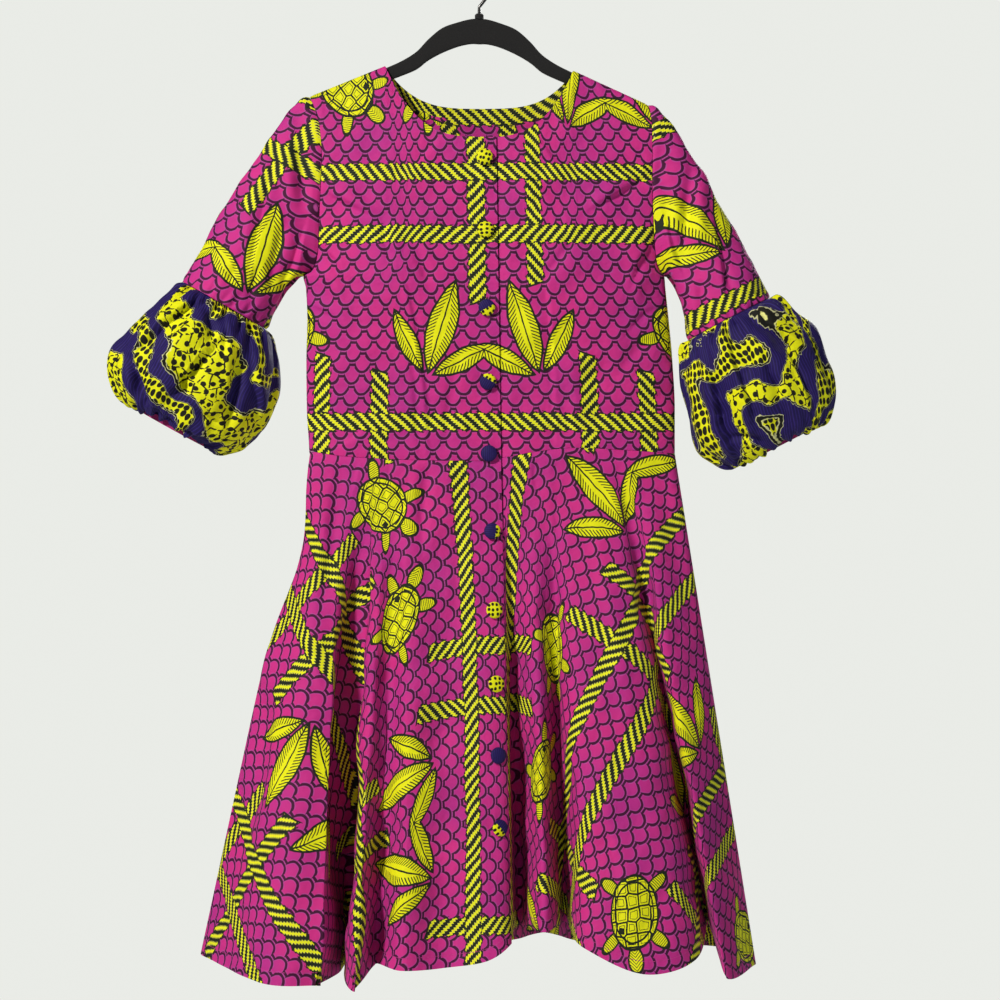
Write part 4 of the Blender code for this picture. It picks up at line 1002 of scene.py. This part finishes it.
def shapedSkirt(grid, face, seed, sides):
    s = skirt
    normals = normalsOf(grid, facing=(0, -1 if face == "front" else 1, 0))
    down, side = runOf(grid, 0), runOf(grid, 1)
    swell = sum(high * uneven(grid, size, seed + later) for high, size, later in s["swells"])
    push = (creased(grid, skirtCreases[face]) + swell * np.clip(down / 150, 0.2, 1)) * rising(down, 12)
    hemUp = down[-1:] - down
    push -= s["waistDip"] * near(down, 3.0) + s["hemDip"] * near(hemUp - stitches["fromHem"], 1.4)
    normals[0] = flattened(normals[0], 2)
    for column in sides:
        normals[:, column] = flattened(normals[:, column], 1)
        away = side if column == 0 else side[:, -1:] - side
        push = push * rising(away, 10) - s["seamDip"] * near(away, 2.4)
    return normals, push, hemUp


def sewLine(name, grid, normals, away):
    # one row of straight stitches, this far from the edge, a little sunk in the cloth
    long, thick = stitches["long"], stitches["thick"]
    row = int(np.argmin(np.abs(away.mean(axis=1) - stitches["fromHem"])))
    run = runOf(grid[row][None], 1)[0]
    points, faces = [], []
    for begin in np.arange(3.0, run[-1] - 3 - long, long + stitches["gap"]):
        (start, end), (out, outEnd) = (
            [np.array([np.interp(at, run, part[row, :, k]) for k in range(3)]) for at in (begin, begin + long)]
            for part in (grid, normals)
        )
        across = np.cross(end - start, out)
        across *= thick / 2 / np.linalg.norm(across)
        first = len(points)
        for place, outward, rise in ((start, out, 0.1), (mix(start, end, 0.5), out, 0.45), (end, outEnd, 0.1)):
            points += [place - across, place + outward * (thick * rise + 0.1), place + across]
        for k in (first, first + 3):
            faces += [(k + a, k + a + 3, k + b + 3, k + b) for a, b in ((0, 1), (1, 2), (2, 0))]
        faces += [(first, first + 1, first + 2), (first + 8, first + 7, first + 6)]
    return addMesh(name, np.array(points) * mm, faces, thread)


def buildPanel(part, node, grid, face, seed, seams, calm, zeroColumn, towards):
    normals, push, hemUp = shapedSkirt(grid, face, seed, seams)
    outer = pushed(grid, normals, push * calm)
    inner = pushed(outer, normals, -clothThick - skirt["hemThick"] * (hemUp < stitches["fromHem"]))
    x, y = circularCut(grid, zeroColumn, towards)
    flat = np.stack([y, -x], -1)
    piece = clothPiece("skirt" + part, outer, inner, flat, printedCotton)
    sewLine("hemStitches" + part.replace("Front", ""), outer, normals, hemUp)
    hang(piece, node)
    return normals


def buildSkirt():
    edge = skirt["edgeRow"]
    lap = np.linspace(edge - 1, edge, 12)
    places = np.concatenate([finePlaces(frontFolds, 0, edge - 1)[:-1], lap])
    grid = skirtPoints(frontFolds, places, "front", "rightFront")
    calm = np.clip(edge - 0.6 - places, 0.15, 1)
    over = buildPanel("FrontRight", "skirt_front_right", grid, "front", 21, [0], calm, len(places) - 7, 1)

    places = np.concatenate([lap, finePlaces(frontFolds, edge, len(frontFolds) - 1)[1:]])
    grid = skirtPoints(frontFolds, places, "front", "leftFront")
    gap = bodice["wall"] + bodice["lapGap"]
    grid[:, :len(lap)] -= over[:, -len(lap):] * gap
    fade = np.clip(1 - (places - edge), 0, 1)
    fade[:len(lap)] = 0
    grid -= normalsOf(grid, facing=(0, -1, 0)) * (gap * fade)[None, :, None]
    calm = np.clip(places - edge - 0.3, 0, 1)
    buildPanel("FrontLeft", "skirt_front_left", grid, "front", 22, [len(places) - 1], calm, 6, 1)

    places = finePlaces(backFolds, 0, len(backFolds) - 1)
    grid = skirtPoints(backFolds, places, "back", "back")
    middle = int(np.argmin(np.abs(grid[0, :, 0] - 13)))
    buildPanel("Back", "skirt_back", grid, "back", 23, [0, len(places) - 1], 1.0, middle, -1)


buildSkirt()
print("skirt ready")


# sleeves and cuffs

sleeves = {
    "right": {"end": (-270, -371), "across": (0.871, -0.492), "half": 51.5, "deep": 41.0},
    "left": {"end": (264.5, -385), "across": (-0.888, -0.46), "half": 49.5, "deep": 41.0},
    "swellTop": 10.5, "swellUnder": 10.0, "swellEarly": 0.55, "rows": 90,
    "swells": ((1.5, 50, 31), (0.5, 22, 32)),  # how high and how long, and the draw's number
    "calmTop": 16, "calmEnd": 8, "seamDip": 0.8, "capRise": 1.6, "gatherHigh": 0.9, "gatherReach": 16,
    "onCloth": {"right": (30, 60), "left": (-96, 18)},  # where each lies on the printed cloth
}
sleeveCreases = {
    "right": (
        (-5.1, 6.3, ((-193, -197), (-186, -232), (-184, -267))),
        (4.3, 8.1, ((-203, -200), (-199, -240), (-197, -275))),
        (4.2, 8.0, ((-214, -220), (-226, -280), (-238, -335)), 1),
        (3.9, 8.1, ((-228, -235), (-239, -285), (-250, -330))),
        (5.2, 6.5, ((-184, -296), (-193, -330), (-205, -354)), 1),
        (-3.9, 5.4, ((-202, -280), (-214, -329), (-220, -368))),
        (-3.1, 4.5, ((-262, -352), (-252, -330), (-247, -312))),
        (-3.1, 4.5, ((-240, -372), (-234, -350), (-232, -332))),
    ),
    "left": (
        (-5.1, 6.3, ((224, -222), (220, -264), (214, -316))),
        (4.3, 8.1, ((234, -226), (232, -270), (228, -318))),
        (3.9, 8.0, ((257, -370), (254, -327), (245, -278)), 1),
        (5.2, 6.5, ((213, -340), (203, -310), (196, -283)), 1),
        (3.9, 7.2, ((208, -250), (205, -290), (204, -322))),
        (-3.1, 4.5, ((236, -392), (232, -368), (231, -345))),
        (-3.1, 4.5, ((270, -372), (262, -350), (256, -330))),
    ),
}
cuffSections = {
    # past the sleeve, reach to the outer side, the inner side and the front, gather
    "right": (
        (0, 51.5, 51.5, 41, 0), (9, 55, 66, 50, 3.5), (26, 60, 82, 60, 6), (48, 68, 94, 67, 7), (76, 76, 100, 71, 7),
        (102, 81, 100, 70, 7), (121, 74, 94, 64, 6), (134, 58, 81, 54, 4.5), (138, 43, 68, 44, 2.5), (131, 34, 62, 38, 0),
    ),
    "left": (
        (0, 49.5, 49.5, 41, 0), (9, 60, 62, 50, 3.5), (30, 68, 73, 60, 6), (52, 76, 81, 67, 7), (78, 74, 88, 70, 7),
        (104, 70, 92, 69, 7), (123, 61, 88, 63, 6), (138, 47, 78, 54, 4.5), (142, 36, 68, 44, 2.5), (134, 28, 61, 38, 0),
    ),
}
gathers = {
    "places": (0, 0.085, 0.19, 0.27, 0.36, 0.47, 0.55, 0.65, 0.73, 0.83, 0.91),
    "depths": (0.8, 1, 0.7, 1, 0.6, 0.9, 0.8, 1, 0.7, 1, 0.9),
    "turn": 220, "rows": (6, 8, 12, 16, 16, 14, 12, 12, 14), "narrow": 0.017, "cut": 500,
    "swells": ((1.8, 55, 41), (0.8, 24, 42)),
    "calmTop": 7, "calmEnd": 4, "seamDip": 0.7, "high": 2.1, "topReach": 26, "endReach": 34,
}
cuffCreases = {
    "right": (
        (7.5, 7.0, ((-360, -427), (-330, -398), (-290, -366)), 1),
        (-13.0, 5.0, ((-362, -430), (-352, -458), (-345, -484))),
        (8.0, 8.0, ((-318, -468), (-292, -436), (-266, -410)), 1),
        (-9.0, 5.0, ((-246, -425), (-249, -458), (-262, -512))),
        (6.0, 6.0, ((-236, -420), (-229, -470), (-232, -508)), 1),
        (6.0, 7.0, ((-345, -474), (-310, -500), (-270, -518)), 1),
        (-5.0, 4.0, ((-282, -376), (-276, -398), (-274, -416))),
        (5.0, 5.0, ((-262, -388), (-258, -412), (-262, -440)), 1),
        (-6.0, 4.0, ((-322, -432), (-306, -446), (-300, -470))),
        (-5.0, 3.6, ((-300, -478), (-284, -492), (-264, -500))),
        (4.0, 7.0, ((-300, -400), (-316, -420), (-334, -440))),
    ),
    "left": (
        (8.5, 7.0, ((284, -504), (277, -474), (262, -432), (256, -402)), 1),
        (8.5, 7.5, ((273, -543), (251, -500), (239, -442)), 1),
        (7.5, 8.0, ((274, -382), (311, -405), (347, -428)), 1),
        (6.5, 7.0, ((348, -488), (330, -448), (312, -412)), 1),
        (-6.0, 4.0, ((258, -513), (276, -512), (300, -519))),
        (-7.0, 4.5, ((292, -420), (300, -450), (316, -480))),
        (5.0, 8.0, ((296, -408), (288, -446), (300, -486))),
        (-6.0, 4.2, ((226, -424), (230, -470), (242, -512))),
        (-5.0, 3.6, ((322, -500), (308, -478), (304, -456))),
    ),
}


def sleeveFrame(side):
    x, z = sleeves[side]["end"]
    ax, az = sleeves[side]["across"]
    across = np.array([ax, 0, az]) / math.hypot(ax, az)
    axis = np.array([across[2], 0, -across[0]]) * (1 if side == "right" else -1)
    return np.array([x, 0, z], float), across, axis


def turned(side, share, outer, inner, deep):
    # a place on an oval across the sleeve: 0 is its outer side, a quarter turn is its front
    reach = np.cos(2 * np.pi * share)
    wide = np.where(reach > 0, outer, inner) * -reach
    front = np.array([0, -1.0, 0]) * (deep * np.sin(2 * np.pi * share))[..., None]
    return sleeveFrame(side)[1] * wide[..., None] + front


def tubeFolds(grid, normals, rows, swells):
    folds = creased(grid, rows, -1, normals) + 0.8 * creased(grid, rows, 1, normals)
    return folds + sum(high * uneven(grid, size, seed) for high, size, seed in swells)


def wrapped(grid):
    return np.concatenate([grid, grid[:, :1]], axis=1)


def buildSleeve(side):
    s = sleeves
    rows = armholes[side]["rows"]
    keep = rows >= 4
    place = (14 - rows[keep]) / 20  # share of a turn, from the shoulder down the front

    def ring(front, back):
        # up the bodice's front edge and down its back edge, which meet at the shoulder and underarm
        front, back = front[keep], back[keep]
        middle = (front + back) / 2
        return np.concatenate([middle[-1:], front[-2:0:-1], middle[:1], back[1:-1]])

    edge = ring(armholes[side]["edge"], armholes["back"][side][0])
    way = edge - ring(armholes[side]["beside"], armholes["back"][side][1])
    way /= np.linalg.norm(way, axis=-1, keepdims=True)
    shares = np.concatenate([place[::-1], (1 - place)[1:-1]])
    centre, across, axis = sleeveFrame(side)
    half = s[side]["half"]
    end = centre + turned(side, shares, half, half, s[side]["deep"]) - axis * seamGap / 2
    down = np.linspace(0, 1, s["rows"])[:, None]
    reach = np.cos(2 * np.pi * shares)
    swell = np.where(reach > 0, s["swellTop"], s["swellUnder"])
    swell = swell * reach ** 2 * np.sin(np.pi * down ** s["swellEarly"])
    grid = mix((edge + way * seamGap)[None], end[None], down[..., None]) - across * swell[..., None]
    behind = -(len(shares) // 2)  # the seam of the mapped tube goes to the back
    grid, shares = np.roll(grid, behind, axis=1), np.roll(shares, behind)
    normals = normalsOf(grid, closed=True)
    run = runOf(grid, 0)
    left = run[-1:] - run
    push = tubeFolds(grid, normals, sleeveCreases[side], s["swells"])
    push *= rising(run, s["calmTop"]) * rising(left, s["calmEnd"])
    push += s["capRise"] * near(run - 9, 6) * np.clip(np.cos(2 * np.pi * shares), 0, 1)
    ripple = np.sin(2 * np.pi * shares * 23) + 0.6 * np.sin(2 * np.pi * shares * 37 + 1)
    push += s["gatherHigh"] * ripple * near(left, s["gatherReach"]) * rising(left, 3)
    push -= s["seamDip"] * (near(run, 2.6) + near(left, 2.6))
    outer = pushed(grid, normals, push)
    # unrolled around the sleeve's axis, so its cap is a curve and the print runs true
    level = (wrapped(grid) - centre) @ axis
    around = runOf(wrapped(grid) - level[..., None] * axis, 1)
    middle = around.shape[1] // 2
    around = (around - around[:, middle:middle + 1]) * (-1 if side == "right" else 1)
    flat = np.stack([around, -level], -1) + s["onCloth"][side]
    name = "sleeve" + side.title()
    piece = clothPiece(name, outer, pushed(outer, normals, -clothThick), flat, printedCotton, closed=True)
    hang(piece, "sleeve_" + side)


def buildCuff(side):
    g = gathers
    centre, _, axis = sleeveFrame(side)
    levels = placesBetween(g["rows"])
    past, outerReach, innerReach, deep, gather = (
        rounded(column, levels)[:, None] for column in zip(*cuffSections[side])
    )
    shares = np.arange(g["turn"]) / g["turn"]
    dent = np.zeros(len(shares))
    for where, depth in zip(g["places"], g["depths"]):
        dent = np.maximum(dent, depth * near((shares - where + 0.5) % 1 - 0.5, g["narrow"]))
    oval = turned(side, shares[None] + 0 * past, outerReach, innerReach, deep)
    belly = np.sin(np.pi * levels / levels[-1])[:, None]
    oval *= 1 - ((1.5 - 0.8 * belly) * gather * dent)[..., None] / np.linalg.norm(oval, axis=-1, keepdims=True)
    grid = centre + axis * (past + seamGap / 2)[..., None] + oval
    behind = -(len(shares) // 2)
    grid, shares = np.roll(grid, behind, axis=1), np.roll(shares, behind)
    normals = normalsOf(grid, closed=True)
    run = runOf(grid, 0)
    left = run[-1:] - run
    push = tubeFolds(grid, normals, cuffCreases[side], g["swells"])
    ripple = np.sin(2 * np.pi * shares * 27) + 0.7 * np.sin(2 * np.pi * shares * 41 + 2)
    push += g["high"] * ripple * (near(run, g["topReach"]) + near(left, g["endReach"]))
    push *= rising(run, g["calmTop"]) * rising(left, g["calmEnd"])
    push -= g["seamDip"] * near(run, 2.6)
    outer = pushed(grid, normals, push)
    around = runOf(wrapped(grid), 1)
    middle = around.shape[1] // 2
    around = (around - around[:, middle:middle + 1]) / np.maximum(around[:, -1:], 1) * g["cut"]
    flat = np.stack([around + (0 if side == "right" else 700), -runOf(wrapped(grid), 0)], -1)
    name = "cuff" + side.title()
    piece = clothPiece(name, outer, pushed(outer, normals, -clothThick), flat, contrastCotton, closed=True)
    hang(piece, "cuff_" + side)

    # the narrow band inside its mouth
    lastPast, *reaches = cuffSections[side][-1][:4]
    shares = np.arange(160) / 160
    levels = np.linspace(lastPast - 12, lastPast + 9, 12)[:, None]
    pull = 0.4 * np.abs(np.sin(2 * np.pi * shares * 19)) * np.clip((lastPast + 9 - levels) / 20, 0, 1)
    walls = []
    for inset in (0.6, 1.5):
        ring = turned(side, shares[None] + 0 * levels, *(reach - inset for reach in reaches))
        walls.append(centre + axis * (levels + seamGap / 2)[..., None] + ring * (1 - pull[..., None] / 60))
    flat = np.stack([runOf(wrapped(walls[0]), 1), -runOf(wrapped(walls[0]), 0)], -1)
    piece = clothPiece("cuffBand" + side.title(), *walls, flat, plainCotton, closed=True)
    hang(piece, "cuff_band_" + side)


for side in ("right", "left"):
    buildSleeve(side)
    buildCuff(side)
print("sleeves and cuffs ready")


# buttons

buttonSizes = {
    "profile": (
        (2.6, 0.2), (3.0, 1.4), (6.8, 1.3), (8.2, 1.7), (8.75, 2.7),
        (8.3, 3.9), (7.0, 5.0), (4.8, 5.8), (2.4, 6.15), (0.6, 6.25),
    ),
    # from the neck down: which way the violet part of the print lies, and how far it reaches over the cap
    "violet": (
        (200, -9), (90, -10), (150, 0.5), (30, 2.5), (0, 11), (95, 3.5), (0, -11), (0, -11), (0, 11), (230, 1),
    ),
}


def buildButtonCotton():
    # an offcut of the violet and yellow cotton, pulled tight over each cap
    made, add, surface = newMaterial("violet and yellow cotton over a cap")
    c = contrastSizes
    inMm = flatMm(add)
    split = add("SeparateXYZ", inMm)
    tall = add("VectorMath MULTIPLY", inMm, (1.0, 0.85, 0))
    cells = add("TexVoronoi", tall, scale=1 / 4.4, randomness=0.35, voronoi_dimensions="2D")
    cell = add("MapRange", cells, 0.3, 0.38, 1.0, 0.0)
    celled = add("Mix RGBA", cell, linear(c["yellow"]), linear(c["black"]))
    rib = add("MapRange", add("Math PINGPONG", split.outputs[0], 1.1), 0.15, 0.4, 0.4, 0.0)
    ribbed = add("Mix RGBA", rib, linear(c["violet"]), linear(c["violetPale"]))
    ragged = add("TexNoise", inMm, scale=0.6, detail=1.0)
    side = add("Math MULTIPLY_ADD", ragged, 2.5, split.outputs[1])
    isViolet = add("Math LESS_THAN", side, 1.2)
    base = add("Mix RGBA", isViolet, celled, ribbed)
    finishCloth(add, surface, inMm, base)
    return made


def buildButtons():
    cotton = buildButtonCotton()
    for number, (lie, reach) in enumerate(buttonSizes["violet"], start=1):
        name = "button_%02d" % number
        points = np.array([v.co for v in nodes[name].data.vertices]) / mm
        centre = points.mean(axis=0)
        facing = np.linalg.svd(points - centre)[2][2]  # the way in which the solid is thinnest
        facing = facing if facing[1] < 0 else -facing
        base = centre + facing * ((points - centre) @ facing).min()
        side = np.cross(facing, (0, 0, 1.0))
        side /= np.linalg.norm(side)
        up = np.cross(side, facing)
        places = placesBetween([3] * (len(buttonSizes["profile"]) - 1))
        radius, out = (rounded(column, places)[:, None] for column in zip(*buttonSizes["profile"]))
        turn = np.linspace(0, 2 * np.pi, 48, endpoint=False)[None]
        pucker = 1 - 0.02 * (1 + np.sin(turn * 12 + number)) * np.clip(1 - np.abs(out - 1.9) / 1.4, 0, 1)
        u, v = radius * pucker * np.cos(turn), radius * pucker * np.sin(turn)
        rings = base + u[..., None] * side + v[..., None] * up + out[..., None] * facing
        lean = math.radians(lie)
        along = u * math.cos(lean) + v * math.sin(lean) + 40.0 * number
        across = v * math.cos(lean) - u * math.sin(lean) - reach
        piece = ringPiece("coveredButton%02d" % number, rings, cotton, np.stack([along, across], -1))
        hang(piece, name)


buildButtons()
print("buttons ready")


# hanger

hangerSizes = {
    "depth": 5.0, "underCloth": 2.6, "collarTall": 5.0,
    "bend": 20, "wireHalf": 1.7, "tipHalf": 1.2,  # the hook's inner radius and its wire
    "across": (0, 9, 22, 39, 54, 66, 80, 96, 125, 150, 172, 182, 192, 200),
    "top": (-67, -67.5, -71, -77.5, -90, -103, -112.5),  # over the neck, before it follows the shoulders
    "drop": (0, 0, 0, 0, 2, 8, 15),
    "tall": (27, 26.5, 26, 26.5, 22.5, 19, 16, 14.5, 14, 13.5, 12.5, 12, 10.5, 9),
}


def buildHanger():
    h = hangerSizes
    tops = {}
    for sign in (-1, 1):
        neck = [top - bodice["tilt"] * sign * x for x, top in zip(h["across"], h["top"])]
        arm = [
            float(shoulderLine(sign * x)) - h["underCloth"] - drop
            for x, drop in zip(h["across"][len(neck):], h["drop"])
        ]
        tops[sign] = neck + arm
    xs = [-x for x in h["across"][:0:-1]] + list(h["across"])
    places = placesBetween([5] * (len(xs) - 1))
    rows = (xs, tops[-1][:0:-1] + tops[1], h["tall"][:0:-1] + h["tall"])
    x, top, tall = (rounded(values, places)[:, None] for values in rows)
    turn = np.linspace(0, 2 * np.pi, 28, endpoint=False)[None]
    # a rounded bar: its edges are soft and its faces nearly flat
    squash = lambda value, power: np.sign(value) * np.abs(value) ** power
    y = h["depth"] / 2 * squash(np.sin(turn), 0.45) + 0 * x
    z = top - tall / 2 + tall / 2 * squash(np.cos(turn), 0.5)
    piece = ringPiece("hangerBar", np.stack([x + 0 * y, y, z], -1), velvet)
    hang(piece, "hanger")
    nodes["hanger_collar"].material_slots[0].material = velvet


def buildHook():
    h = hangerSizes
    bend, wireHalf = h["bend"] + h["wireHalf"], h["wireHalf"]
    low = h["top"][0] + seamGap + h["collarTall"] + seamGap
    path = [(0, low), (0, low + 3.5), (0, low + 7)]
    for angle in np.radians(range(-50, 196, 5)):
        path.append((bend * math.cos(angle), -h["bend"] + bend * math.sin(angle)))
    path = np.array(path)
    along = np.gradient(path, axis=0)
    along /= np.linalg.norm(along, axis=1, keepdims=True)
    along[0] = (0, 1)
    out = np.stack([along[:, 1], 0 * along[:, 0], -along[:, 0]], -1)
    turn = np.linspace(0, 2 * np.pi, 16, endpoint=False)[None, :, None]
    centre = np.stack([path[:, 0], 0 * path[:, 0], path[:, 1]], -1)
    radius = np.array([wireHalf] * (len(path) - 1) + [h["tipHalf"]])[:, None, None]
    rings = centre[:, None] + radius * (out[:, None] * np.cos(turn) + np.array([0, 1.0, 0]) * np.sin(turn))
    hang(ringPiece("hangerHook", rings, wire), "hanger_hook")


buildHanger()
buildHook()
print("hanger ready")

bpy.context.view_layer.update()
